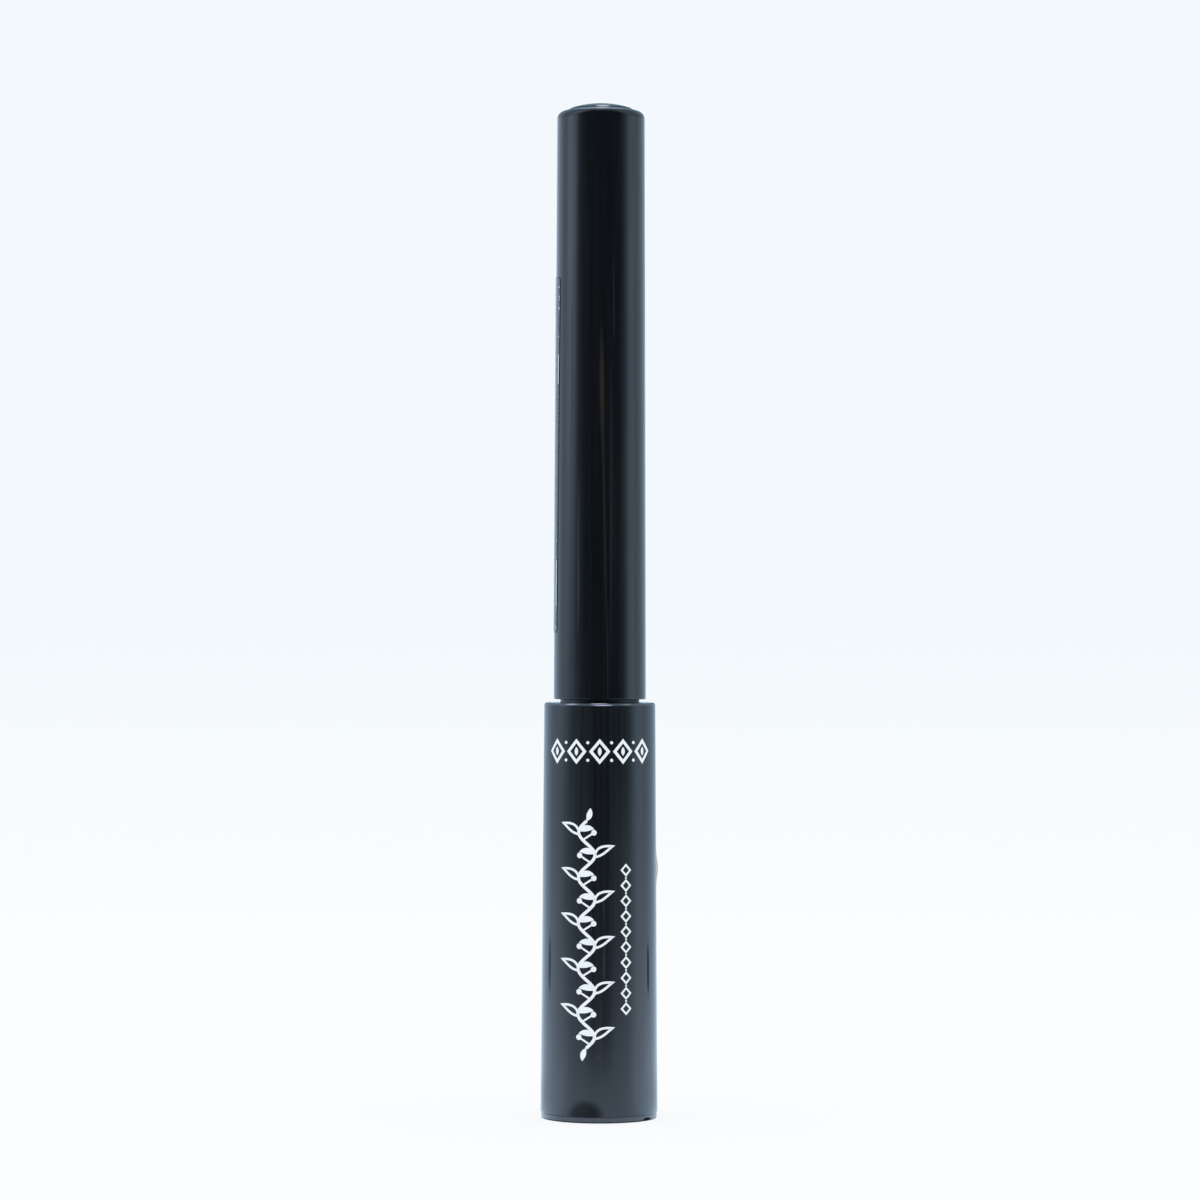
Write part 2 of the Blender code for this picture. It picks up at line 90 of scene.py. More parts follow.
def scaled(value, factor, base):
    return calc("MULTIPLY_ADD", value, factor, base)


def vectorCalc(operation, *values):
    node = addNode(treeOf(*values), "ShaderNodeVectorMath", dict(enumerate(values)), operation=operation)
    return node.outputs["Value"]


def addCurve(value, points, top=1.0):
    # points run from input 0 to input 1, and their heights from 0 to top
    node = addNode(treeOf(value), "ShaderNodeFloatCurve", {"Value": value})
    node.mapping.extend = "HORIZONTAL"
    line = node.mapping.curves[0]
    for end in (0, -1):
        line.points[end].location = (points[end][0], points[end][1] / top)
    for x, y in points[1:-1]:
        line.points.new(x, y / top)
    for point in line.points:
        point.handle_type = "AUTO_CLAMPED"
    node.mapping.update()
    return times(node.outputs[0], top)


def mixColours(share, first, second):
    sockets = {0: share, 6: first, 7: second}
    return addNode(treeOf(share), "ShaderNodeMix", sockets, data_type="RGBA").outputs[2]


def smoothStep(value, low, high, start=0.0, end=1.0):
    sockets = {"Value": value, "From Min": low, "From Max": high, "To Min": start, "To Max": end}
    return addNode(treeOf(value), "ShaderNodeMapRange", sockets, interpolation_type="SMOOTHSTEP").outputs[0]


def between(value, low, lowBlur, high, highBlur):
    rises = smoothStep(value, low, low + lowBlur)
    return times(rises, smoothStep(value, high, high + highBlur, 1.0, 0.0))


def split(vector):
    return addNode(treeOf(vector), "ShaderNodeSeparateXYZ", {0: vector}).outputs


def combine(**axes):
    return addNode(treeOf(*axes.values()), "ShaderNodeCombineXYZ", axes).outputs[0]


def aroundZ(axes):
    # angle from the front, which looks along -Y; positive to the right
    return calc("ARCTAN2", axes["X"], times(axes["Y"], -1.0))


def arc(centreR, centreZ, radius, start, end, steps=8):
    angles = (start + (end - start) * i / steps for i in range(steps + 1))
    return [(centreR + radius * math.cos(a), centreZ + radius * math.sin(a)) for a in angles]


def held(outline, reach=0.12, longStretch=0.6):
    # a ring close to each end of a long stretch keeps its shading straight
    full = []
    for (r0, z0), (r1, z1) in zip(outline, outline[1:] + outline[:1]):
        full.append((r0, z0))
        span = math.hypot(r1 - r0, z1 - z0)
        if span > longStretch and r0 + r1 > 0:
            for share in (reach / span, 1 - reach / span):
                full.append((r0 + (r1 - r0) * share, z0 + (z1 - z0) * share))
    return full


def closeShape(shape, finish):
    bmesh.ops.remove_doubles(shape, verts=shape.verts, dist=mergeDistance)
    bmesh.ops.recalc_face_normals(shape, faces=shape.faces)
    mesh = bpy.data.meshes.new("shape")
    shape.to_mesh(mesh)
    shape.free()
    mesh.materials.append(finish)
    return mesh


def turned(outline, finish, steps):
    shape = bmesh.new()
    turns = [(math.cos(fullTurn * i / steps), math.sin(fullTurn * i / steps)) for i in range(steps)]
    rings = []
    for r, z in held(outline):
        if r == 0:
            rings.append([shape.verts.new((0, 0, z))] * steps)
        else:
            rings.append([shape.verts.new((r * c, r * s, z)) for c, s in turns])
    for lower, upper in zip(rings, rings[1:] + rings[:1]):
        if lower[0] is lower[1] and upper[0] is upper[1]:
            continue
        for i in range(steps):
            j = (i + 1) % steps
            shape.faces.new(dict.fromkeys((lower[i], lower[j], upper[j], upper[i])))
    return closeShape(shape, finish)


def placePiece(name, mesh, body, nodes=(), sharp=38):
    mesh.name = name
    mesh.transform(Matrix.Scale(mm, 4))
    mesh.shade_smooth()
    mesh.set_sharp_from_angle(angle=math.radians(sharp))
    piece = bpy.data.objects.new(name, mesh)
    scene.collection.objects.link(piece)
    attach(piece, body)
    if nodes:
        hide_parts(*nodes)


def boxOf(node):
    low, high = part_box(node)
    return low / mm, high / mm


def grow(tree, kind, sockets=None, **settings):
    return addNode(tree, "GeometryNode" + kind, sockets, **settings).outputs[0]


def newTree(name, **inputs):
    # the inputs' names come by kind; each tree also takes a mesh and a finish
    tree = bpy.data.node_groups.new(name, "GeometryNodeTree")
    kinds = {"Geometry": ["Geometry"], **inputs, "Material": ["finish"]}
    for kind, labels in kinds.items():
        for label in labels:
            tree.interface.new_socket(label, in_out="INPUT", socket_type="NodeSocket" + kind)
    tree.interface.new_socket("Geometry", in_out="OUTPUT", socket_type="NodeSocketGeometry")
    return tree, tree.nodes.new("NodeGroupInput").outputs


def endTree(tree, given, geometry):
    realized = grow(tree, "RealizeInstances", {"Geometry": geometry})
    painted = grow(tree, "SetMaterial", {"Geometry": realized, "Material": given["finish"]})
    addNode(tree, "NodeGroupOutput", {"Geometry": painted})
    return tree


def endRaised(tree, given, geometry, height):
    # the result stands at this height, joined to the mesh that the tree was given
    raised = grow(tree, "Transform", {"Geometry": geometry, "Translation": combine(Z=height)})
    both = addNode(tree, "GeometryNodeJoinGeometry", {"Geometry": raised})
    feed(tree, both, {"Geometry": given["Geometry"]})
    return endTree(tree, given, both.outputs[0])


def madeBy(tree, blank, **values):
    host = bpy.data.objects.new("host", blank)
    scene.collection.objects.link(host)
    modifier = host.modifiers.new("shape", "NODES")
    modifier.node_group = tree
    for item in tree.interface.items_tree:
        if item.in_out == "INPUT" and item.name in values:
            modifier[item.identifier] = values[item.name]
    mesh = bpy.data.meshes.new_from_object(host.evaluated_get(bpy.context.evaluated_depsgraph_get()))
    bpy.data.objects.remove(host)
    return mesh


def threadTree():
    # a ridge wound round a core or inside a bore, which sinks into the wall at both ends
    tree, given = newTree("helicalThread", Float=(
        "coreRadius", "depth", "sink", "rootWidth", "tipWidth", "pitch", "turns", "start"))
    spiral = grow(tree, "CurveSpiral", {
        "Resolution": 64, "Rotations": given["turns"], "Start Radius": given["coreRadius"], "Reverse": True,
        "End Radius": given["coreRadius"], "Height": times(given["pitch"], given["turns"]),
    })
    upright = grow(tree, "SetCurveNormal", {"Curve": spiral}, mode="Z_UP")
    fade = addCurve(grow(tree, "SplineParameter"), [
        (0, 0.02), (0.05, 0.55), (0.1, 1), (0.9, 1), (0.95, 0.55), (1, 0.02),
    ])
    full = calc("ADD", calc("ABSOLUTE", given["depth"]), given["sink"])
    section = grow(tree, "CurvePrimitiveQuadrilateral", {
        "Bottom Width": given["rootWidth"], "Top Width": given["tipWidth"], "Height": full, "Offset": 0.0,
    }, mode="TRAPEZOID")
    sign = calc("SIGN", given["depth"])
    middle = scaled(full, 0.5, times(given["sink"], -1.0))
    laid = grow(tree, "Transform", {
        "Geometry": section, "Translation": combine(X=times(middle, times(sign, -1.0))),
        "Rotation": combine(Z=times(sign, quarterTurn)),
    })
    ridge = grow(tree, "CurveToMesh", {
        "Curve": upright, "Profile Curve": laid, "Scale": fade, "Fill Caps": True,
    })
    return endRaised(tree, given, ridge, given["start"])


def ribTree():
    # upright ribs round a wall
    tree, given = newTree("ribRing", Int=["count"], Float=("radius", "width", "depth", "low", "high"))
    ring = grow(tree, "MeshCircle", {"Vertices": given["count"], "Radius": given["radius"]})
    length = calc("SUBTRACT", given["high"], given["low"])
    bar = grow(tree, "MeshCone", {"Vertices": 4, "Radius Top": 1.0, "Radius Bottom": 1.0, "Depth": length})
    squash = combine(X=given["depth"], Y=times(given["width"], 0.5), Z=1.0)
    flat = grow(tree, "Transform", {"Geometry": bar, "Scale": squash})
    out = {"Vector": grow(tree, "InputPosition")}
    facing = addNode(tree, "FunctionNodeAlignRotationToVector", out, axis="X").outputs[0]
    ribs = grow(tree, "InstanceOnPoints", {"Points": ring, "Instance": flat, "Rotation": facing})
    return endRaised(tree, given, ribs, given["low"])


def bristleTree():
    # strands that leave the ferrule side by side, swell, and close to a point
    tree, given = newTree("bristles", Int=("count", "seed"), Float=(
        "top", "rootDepth", "length", "fullRadius", "strandRadius"))
    points = grow(tree, "Points", {"Count": given["count"]})
    for offset, (label, high) in enumerate((("turn", fullTurn), ("share", 1.0), ("reach", 1.0))):
        seed = calc("ADD", given["seed"], offset)
        dice = addNode(tree, "FunctionNodeRandomValue", {2: 0.0, 3: high, "Seed": seed}).outputs[1]
        points = grow(tree, "StoreNamedAttribute", {
            "Geometry": points, "Name": label, "Value": dice,
        }, data_type="FLOAT", domain="POINT")
    strand = grow(tree, "ResampleCurve", {
        "Curve": grow(tree, "CurvePrimitiveLine", {"End": (0, 0, -1)}), "Count": 14,
    })
    copies = grow(tree, "InstanceOnPoints", {"Points": points, "Instance": strand})
    loose = grow(tree, "RealizeInstances", {"Geometry": copies})

    def stored(label):
        return grow(tree, "InputNamedAttribute", {"Name": label}, data_type="FLOAT")

    along = grow(tree, "SplineParameter")
    out = calc("POWER", stored("share"), 0.5)
    short = times(out, stored("reach"), 0.28)
    full = calc("ADD", given["rootDepth"], given["length"])
    run = times(full, calc("SUBTRACT", 1.0, short))
    down = calc("SUBTRACT", times(along, run), given["rootDepth"])
    envelope = addCurve(calc("DIVIDE", down, given["length"]), [
        (0, 0.7), (0.1, 0.84), (0.25, 1), (0.45, 0.93), (0.62, 0.76), (0.78, 0.5), (0.9, 0.25), (1, 0.03),
    ])
    sway = calc("SINE", scaled(along, 5.0, times(stored("reach"), 20.0)))
    swayed = scaled(times(sway, along), 0.035, out)
    radius = times(envelope, given["fullRadius"], swayed)
    place = combine(
        Z=calc("SUBTRACT", given["top"], down),
        X=times(radius, calc("COSINE", stored("turn"))),
        Y=times(radius, calc("SINE", stored("turn"))))
    laid = grow(tree, "SetPosition", {"Geometry": loose, "Position": place})
    taper = addCurve(along, [(0, 1), (0.6, 0.85), (1, 0.22)])
    section = grow(tree, "CurvePrimitiveCircle", {"Resolution": 5, "Radius": given["strandRadius"]})
    hairs = grow(tree, "CurveToMesh", {
        "Curve": laid, "Profile Curve": section, "Scale": taper, "Fill Caps": True,
    })
    return endTree(tree, given, hairs)


def printTree():
    # a flat motif, repeated in a row and wrapped onto a drafted wall
    tree, given = newTree("printRow", Int=["count"], Vector=("start", "step"), Float=(
        "wrapRadius", "radiusAtZero", "slope"))
    row = grow(tree, "MeshLine", {
        "Count": given["count"], "Start Location": given["start"], "Offset": given["step"],
    })
    copies = grow(tree, "InstanceOnPoints", {"Points": row, "Instance": given["Geometry"]})
    flat = grow(tree, "RealizeInstances", {"Geometry": copies})
    spot = split(grow(tree, "InputPosition"))
    turn = calc("DIVIDE", spot["X"], given["wrapRadius"])
    wall = scaled(spot["Y"], given["slope"], given["radiusAtZero"])
    radius = calc("ADD", wall, spot["Z"])
    place = combine(
        X=times(radius, calc("SINE", turn)),
        Y=times(radius, calc("COSINE", turn), -1.0), Z=spot["Y"])
    return endTree(tree, given, grow(tree, "SetPosition", {"Geometry": flat, "Position": place}))


threadNodes, ribNodes, bristleNodes, printNodes = threadTree(), ribTree(), bristleTree(), printTree()
print("node trees ready")


def newMaterial(name):
    made = bpy.data.materials.new(name)
    made.use_nodes = True
    tree = made.node_tree
    place = addNode(tree, "ShaderNodeTexCoord").outputs["Object"]
    return made, tree, tree.nodes["Principled BSDF"], place


def stretchedNoise(place, scale, shift=0.0, detail=2.0, rough=0.5):
    tree, move = treeOf(place), (shift, shift, shift)
    laid = addNode(tree, "ShaderNodeMapping", {"Vector": place, "Scale": scale, "Location": move}).outputs[0]
    sockets = {"Vector": laid, "Scale": 1.0, "Detail": detail, "Roughness": rough}
    return addNode(tree, "ShaderNodeTexNoise", sockets).outputs["Fac"]


def bumps(tree, heights):
    normal = None
    for height, depth in heights:
        node = addNode(tree, "ShaderNodeBump", {"Height": height, "Distance": depth, "Strength": 1.0})
        if normal:
            feed(tree, node, {"Normal": normal})
        normal = node.outputs[0]
    return normal


markBlur = 0.08


def addMark(turn, height, radius, mark):
    # an oval place on a round wall: angle from the front in degrees, height and sizes in millimetres
    rise = calc("SUBTRACT", height, mark.height)
    side = calc("SUBTRACT", turn, mark.angle)
    if "lean" in mark:
        side = scaled(rise, -mark.lean, side)
    across = calc("DIVIDE", side, mark.halfAngle)
    up = calc("DIVIDE", rise, mark.halfHeight)
    reach = calc("SQRT", scaled(across, across, times(up, up)))
    mask = smoothStep(reach, mark.core, 1.0, 1.0, 0.0)
    if "outside" in mark:
        mask = times(mask, smoothStep(radius, mark.outside, mark.outside + markBlur))
    return mask


# what the moulded finishes have in common; noise sizes are counts per metre
plainMoulding = Sizes(
    clouds=(170, 170, 60), grain=(9000, 9000, 9000), cloudEdges=(0.35, 0.65), toneEdges=(0.3, 0.7),
    rubEdges=(0.715, 0.74), speckEdges=(0.02, 0.035), speckChance=(0.9, 0.92), wornRoughness=0.22,
    streakRoughness=0.05, waveDepth=0.000004, specular=0.5, ior=1.5, marks=(),
)


def mouldedPlastic(name, **look):
    look = Sizes(plainMoulding, **look)
    made, tree, shader, place = newMaterial(name)
    streaks = stretchedNoise(place, look.streakScale, look.seed, 3.0, 0.6)
    clouds = stretchedNoise(place, look.clouds, look.seed + 3)
    grain = stretchedNoise(place, look.grain, look.seed + 7, 1.0)
    rubs = stretchedNoise(place, look.rubScale, look.seed + 11, 1.0)
    rubLines = smoothStep(rubs, *look.rubEdges)
    cells = addNode(tree, "ShaderNodeTexVoronoi", {"Vector": place, "Scale": look.speckScale}).outputs
    near = smoothStep(cells["Distance"], *look.speckEdges, 1.0, 0.0)
    draw = addNode(tree, "ShaderNodeSeparateColor", {0: cells["Color"]}).outputs[0]
    specks = times(near, smoothStep(draw, *look.speckChance))
    tone = smoothStep(streaks, *look.toneEdges)
    body = mixColours(tone, look.dark, look.light)
    marked = mixColours(times(rubLines, look.rubShare), body, look.rub)
    finish = mixColours(specks, marked, look.speck)
    base = smoothStep(clouds, *look.cloudEdges, *look.roughness)
    streaky = scaled(tone, look.streakRoughness, base)
    worn = scaled(calc("MAXIMUM", rubLines, specks), look.wornRoughness, streaky)
    axes = split(place)
    turn = calc("DEGREES", aroundZ(axes))
    height = calc("DIVIDE", axes["Z"], mm)
    radius = calc("DIVIDE", vectorCalc("LENGTH", combine(X=axes["X"], Y=axes["Y"])), mm)
    level = look.specular
    feed(tree, shader, {"Specular IOR Level": level, "Specular Tint": look.tint, "IOR": look.ior})
    for mark in look.marks:
        mask = addMark(turn, height, radius, mark)
        if "colour" in mark:
            finish = mixColours(times(mask, mark.share), finish, mark.colour)
        if "dulls" in mark:
            worn = scaled(mask, mark.dulls, worn)
        if "fades" in mark:
            level = times(scaled(mask, -mark.fades, 1.0), level)
            feed(tree, shader, {"Specular IOR Level": level})
    heights = [(streaks, look.streakDepth), (grain, look.grainDepth), (clouds, look.waveDepth)]
    feed(tree, shader, {"Base Color": finish, "Roughness": worn, "Normal": bumps(tree, heights)})
    return made


def noisyMaterial(name, scale, shift, detail, edges, dark, light, roughEdges, roughness, depth=0, **sockets):
    # one noise gives the colour and the roughness, and where it has a depth also the relief
    made, tree, shader, place = newMaterial(name)
    noise = stretchedNoise(place, scale, shift, detail)
    share = smoothStep(noise, *edges) if edges else noise
    feed(tree, shader, {
        "Base Color": mixColours(share, dark, light),
        "Roughness": smoothStep(noise, *roughEdges, *roughness), **sockets,
    })
    if depth:
        feed(tree, shader, {"Normal": bumps(tree, [(noise, depth)])})
    return made, tree, shader, place, noise


def softMaterial(name, seed, dark, light, roughness, grainDepth, waveDepth, subsurface):
    made, tree, shader, place, clouds = noisyMaterial(
        name, (500, 500, 300), seed, 3.0, (0.3, 0.7), dark, light, (0.3, 0.7), roughness, IOR=1.48)
    grain = stretchedNoise(place, (12000, 12000, 12000), seed + 5)
    feed(tree, shader, {
        "Normal": bumps(tree, [(grain, grainDepth), (clouds, waveDepth)]), "Subsurface Weight": subsurface,
        "Subsurface Radius": (0.0006, 0.0005, 0.0004), "Subsurface Scale": 1.0,
    })
    return made


def steelMaterial(name):
    made, tree, shader, place = noisyMaterial(
        name, (1500, 1500, 1500), 2.0, 3.0, None, (0.5, 0.5, 0.52, 1), (0.68, 0.68, 0.7, 1),
        (0.3, 0.7), (0.06, 0.16), Metallic=1.0)[:4]
    scratches = stretchedNoise(place, (900, 26000, 4000), 5.0)
    feed(tree, shader, {"Normal": bumps(tree, [(scratches, 0.0000015)])})
    return made


def filmMaterial(name, **look):
    look = Sizes(look)
    made, tree, shader, place = newMaterial(name)
    ripple = stretchedNoise(place, (420, 420, 90), 6.0)
    inset = addNode(tree, "ShaderNodeAttribute", attribute_name="inset").outputs["Fac"]
    # painted shadow: a dark, nearly opaque line just inside the film's outline
    cut = smoothStep(inset, *look.cut, look.cutShare, 0.0)
    # painted highlight: a light line a little further in, broken into pieces by noise and bright in full at
    # the given heights
    band = between(inset, look.line[0], look.lineBlur[0], look.line[1], look.lineBlur[1])
    height = calc("DIVIDE", split(place)["Z"], mm)
    breaks = stretchedNoise(place, look.breaks, 9.0)
    bright = smoothStep(breaks, *look.breakEdges, look.faint, look.strong)
    blur = look.shineBlur
    for low, high in look.shines:
        bright = calc("MAXIMUM", bright, between(height, low, blur, high - blur, blur))
    line = times(band, bright, look.lineShare)
    # painted sheen: the colour lightens and the film grows more opaque towards glancing angles
    facing = addNode(tree, "ShaderNodeLayerWeight", {"Blend": 0.5}).outputs["Facing"]
    hidden = scaled(calc("POWER", facing, 3.0), look.glancing, look.flatOn)
    shown = calc("MAXIMUM", hidden, calc("MAXIMUM", cut, line))
    sheen = times(calc("POWER", facing, 2.0), calc("SUBTRACT", 1.0, cut))
    sheet = mixColours(sheen, mixColours(ripple, look.dark, look.light), look.sheen)
    feed(tree, shader, {
        "Base Color": mixColours(line, sheet, look.lineColour), "Alpha": calc("MINIMUM", shown, 1.0),
        "Roughness": smoothStep(ripple, *look.rippleEdges, *look.roughness), "IOR": look.ior,
        "Normal": bumps(tree, [(ripple, look.rippleDepth)]),
    })
    return made


def mark(angle, halfAngle, height, halfHeight, core, **more):
    return Sizes(more, angle=angle, halfAngle=halfAngle, height=height, halfHeight=halfHeight, core=core)


bottlePlastic = mouldedPlastic(
    "bottleGlossBlack", seed=1.7, dark=(0.0045, 0.0065, 0.0088, 1), light=(0.008, 0.0108, 0.0138, 1),
    rub=(0.022, 0.026, 0.032, 1), speck=(0.09, 0.1, 0.11, 1), rubShare=0.35, streakScale=(2300, 2300, 24),
    rubScale=(1500, 1500, 60), speckScale=420, roughness=(0.13, 0.19), streakDepth=0.0000022,
    grainDepth=0.0000004, tint=(0.97, 0.985, 1.0, 1),
    marks=[
        # painted highlights on the top edge: a faint light line all round and bright glints in three places;
        # most of them also make the edge a little rougher
        mark(0, 2000, 53.26, 0.21, 0.6, outside=6.72, share=0.16, colour=(0.3, 0.4, 0.47, 1), dulls=0.05),
        mark(1.0, 14, 53.25, 0.18, 0.5, outside=6.72, share=0.35, colour=(0.3, 0.3, 0.43, 1)),
        mark(-0.6, 12.5, 53.43, 0.1, 0.6, outside=6.72, share=1.0, colour=(0.92, 0.94, 1.0, 1), dulls=0.05),
        mark(3.3, 12, 53.165, 0.065, 0.6, outside=6.72, share=1.0, colour=(0.5, 0.48, 0.74, 1), dulls=0.05),
        mark(-31, 10, 53.29, 0.11, 0.3, outside=6.72, share=0.85, colour=(0.46, 0.48, 0.68, 1), dulls=0.05),
        mark(29, 8, 53.27, 0.11, 0.3, outside=6.72, share=0.3, colour=(0.33, 0.38, 0.33, 1)),
        # a dull patch stands over the foot
        mark(-13.6, 21.5, 0.7, 2.6, 0.5, share=1.0, colour=(0.003, 0.0045, 0.006, 1), dulls=0.3, fades=0.5),
        mark(-7.5, 9, 1.2, 1.7, 0.2, fades=0.25),
        # two faint upright scuffs
        mark(-59.1, 2.9, 20.0, 5.0, 0.5, fades=0.8),
        mark(57.6, 2.6, 19.4, 4.7, 0.5, fades=0.9),
    ])
capPlastic = mouldedPlastic(
    "capGlossBlack", seed=8.3, dark=(0.0036, 0.005, 0.0066, 1), light=(0.0056, 0.0073, 0.0092, 1),
    rub=(0.014, 0.016, 0.019, 1), speck=(0.12, 0.13, 0.14, 1), rubShare=0.25, streakScale=(1900, 1900, 30),
    rubScale=(1300, 1300, 28), speckScale=330, roughness=(0.1, 0.16), streakRoughness=0.035,
    streakDepth=0.0000012, grainDepth=0.0000003, waveDepth=0.000003, tint=(1.0, 0.98, 1.0, 1),
    marks=[
        # faint rub lines down the front, one of them brownish
        mark(4.8, 2.6, 80, 26, 0.3, lean=-0.184, share=0.7, colour=(0.02, 0.0165, 0.0145, 1), dulls=0.05),
        mark(1.9, 4.6, 94.0, 10, 0.15, lean=-0.1, share=1.0, colour=(0.026, 0.0188, 0.0135, 1), dulls=0.05),
        mark(14, 2.8, 79, 28, 0.2, share=1.0, colour=(0.0145, 0.0143, 0.0155, 1)),
        # painted highlight along the front of the shoulder's top: a faint wide line with a brighter middle
        mark(0.5, 38, 129.45, 0.11, 0.3, share=0.2, colour=(0.3, 0.265, 0.28, 1)),
        mark(0.5, 12, 129.45, 0.12, 0.4, share=0.5, colour=(0.4, 0.34, 0.4, 1)),
    ])
discPlastic = mouldedPlastic(
    "endDiscBlack", seed=3.1, dark=(0.0045, 0.0068, 0.0082, 1), light=(0.0065, 0.0092, 0.011, 1),
    rub=(0.03, 0.033, 0.037, 1), speck=(0.1, 0.11, 0.115, 1), rubShare=0.4, streakScale=(700, 700, 700),
    rubScale=(900, 4000, 900), speckScale=500, roughness=(0.14, 0.22), streakRoughness=0.03,
    streakDepth=0.000001, grainDepth=0.0000004, waveDepth=0.000003, tint=(0.85, 1.0, 1.0, 1),
    # a painted highlight on the front of the edge, which also makes it a little rougher
    marks=[mark(3.6, 14.5, 129.88, 0.1, 0.7, share=1.0, colour=(0.63, 0.54, 0.67, 1), dulls=0.1)])
basePlastic = mouldedPlastic(
    "baseSatinBlack", seed=5.9, dark=(0.044, 0.05, 0.06, 1), light=(0.062, 0.069, 0.082, 1),
    rub=(0.075, 0.082, 0.094, 1), speck=(0.1, 0.11, 0.12, 1), rubShare=0.5, streakScale=(900, 900, 900),
    rubScale=(2500, 2500, 700), speckScale=700, roughness=(0.3, 0.42), streakDepth=0.000003,
    grainDepth=0.0000012, tint=(0.8, 0.93, 1.0, 1),
    marks=[
        # painted shade along the standing edge, and a darker spot at one place as the painted shadow of a
        # notch; both also lower the gloss
        mark(0, 2000, 0.0, 0.2, 0.7, outside=7.2, share=0.9, colour=(0.012, 0.011, 0.015, 1), fades=0.6),
        mark(56, 9, 0.2, 0.36, 0.5, outside=7.2, share=1.0, colour=(0.002, 0.002, 0.003, 1), fades=0.95),
    ])
innerPlastic = mouldedPlastic(
    "innerSatinBlack", seed=12.4, dark=(0.0085, 0.0098, 0.0125, 1), light=(0.014, 0.016, 0.0195, 1),
    rub=(0.034, 0.036, 0.04, 1), speck=(0.05, 0.05, 0.052, 1), rubShare=0.4, streakScale=(1500, 1500, 120),
    rubScale=(2200, 2200, 300), speckScale=600, roughness=(0.34, 0.48), streakDepth=0.000003,
    grainDepth=0.0000014, tint=(0.85, 0.97, 1.0, 1))
softWhite = softMaterial(
    "wiperMilkyWhite", seed=2.2, dark=(0.7, 0.7, 0.67, 1), light=(0.8, 0.8, 0.77, 1),
    roughness=(0.36, 0.5), grainDepth=0.0000015, waveDepth=0.00001, subsurface=0.35)
foamWhite = softMaterial(
    "linerFoamWhite", seed=6.1, dark=(0.66, 0.65, 0.61, 1), light=(0.78, 0.77, 0.74, 1),
    roughness=(0.6, 0.8), grainDepth=0.00001, waveDepth=0.00002, subsurface=0.2)
ballSteel = steelMaterial("ballPolishedSteel")
brushFibre = noisyMaterial(
    "brushDarkFibre", (9000, 9000, 400), 1.0, 2.0, (0.3, 0.7), (0.012, 0.009, 0.008, 1),
    (0.05, 0.036, 0.028, 1), (0.3, 0.7), (0.38, 0.55))[0]
whiteInk = noisyMaterial(
    "whitePrintInk", (2600, 2600, 2600), 4.0, 3.0, (0.35, 0.65), (0.84, 0.89, 0.93, 1),
    (0.9, 0.94, 0.97, 1), (0.3, 0.7), (0.32, 0.46), depth=0.000004)[0]
filmLook = dict(
    # inset is how far a point lies inside the film's outline, in millimetres
    # the first pair gives a painted shadow line just inside the outline
    cut=(0.01, 0.04), cutShare=0.85, line=(0.11, 0.34), lineBlur=(0.04, 0.06), lineShare=0.85,
    breaks=(300, 300, 800), breakEdges=(0.6, 0.68), faint=0.06, strong=0.9, shineBlur=0.15,
    # heights at which the painted highlight line inside the cut is bright in full
    shines=[(94.3, 98.2), (65.8, 71.8), (106.6, 107.0), (103.8, 104.2)],
    rippleEdges=(0.35, 0.65), rippleDepth=0.000006, roughness=(0.08, 0.14), ior=1.47,
    # the sheen is painted towards glancing angles, and the last colour is that of the painted highlight line
    flatOn=0.05, glancing=0.8, dark=(0.008, 0.01, 0.013, 1), light=(0.014, 0.017, 0.021, 1),
    sheen=(0.34, 0.34, 0.39, 1), lineColour=(0.75, 0.78, 0.8, 1),
)
clearFilm = filmMaterial("clearFilm", **filmLook)
# the dot's film has a bluer painted sheen and a bluer painted shadow line
thinFilm = filmMaterial("thinClearFilm", **dict(
    filmLook, shines=[], glancing=0.5, sheen=(0.36, 0.5, 0.7, 1), dark=(0.09, 0.14, 0.2, 1),
    light=(0.11, 0.16, 0.23, 1)))
print("materials ready")


clearance = 0.05  # room between pieces that touch or are pressed together
ribSink = 0.005  # how far the ribs stay below the full size

bottleSizes = Sizes(
    flare=0.38, wall=0.9, roof=1.2, edgeRound=0.35, footBevel=0.02, footLift=0.13, holeGap=0.1,
    holeBevel=0.06, steps=192,
)
sleeveLow, sleeveHigh = boxOf("bottle_sleeve")
innerLow, innerHigh = boxOf("inner_cap")
bottleFoot, bottleTop = sleeveLow.z + bottleSizes.footLift, sleeveHigh.z
footRadius = sleeveHigh.x
topRadius = footRadius - bottleSizes.flare
collarRadius = innerHigh.x
bottleWallLow = bottleFoot + bottleSizes.footBevel
bottleWallHigh = bottleTop - bottleSizes.edgeRound
bottleSlope = -bottleSizes.flare / (bottleWallHigh - bottleWallLow)


def bottleRadius(z):
    return footRadius + bottleSlope * (z - bottleWallLow)


def makeBottleShell(sizes):
    hole = collarRadius + sizes.holeGap
    under = bottleTop - sizes.roof
    bevel = sizes.footBevel
    outline = [
        (footRadius - sizes.wall, bottleFoot), (footRadius - bevel, bottleFoot),
        (footRadius - 0.3 * bevel, bottleFoot + 0.3 * bevel), (footRadius, bottleWallLow),
    ]
    outline += arc(topRadius - sizes.edgeRound, bottleWallHigh, sizes.edgeRound, 0, quarterTurn, 12)
    outline += [
        (hole + sizes.holeBevel, bottleTop), (hole, bottleTop - sizes.holeBevel), (hole, under),
        (bottleRadius(under) - sizes.wall, under),
    ]
    mesh = turned(outline, bottlePlastic, sizes.steps)
    placePiece("bottleShell", mesh, "bottle", ["bottle_sleeve"])


makeBottleShell(bottleSizes)

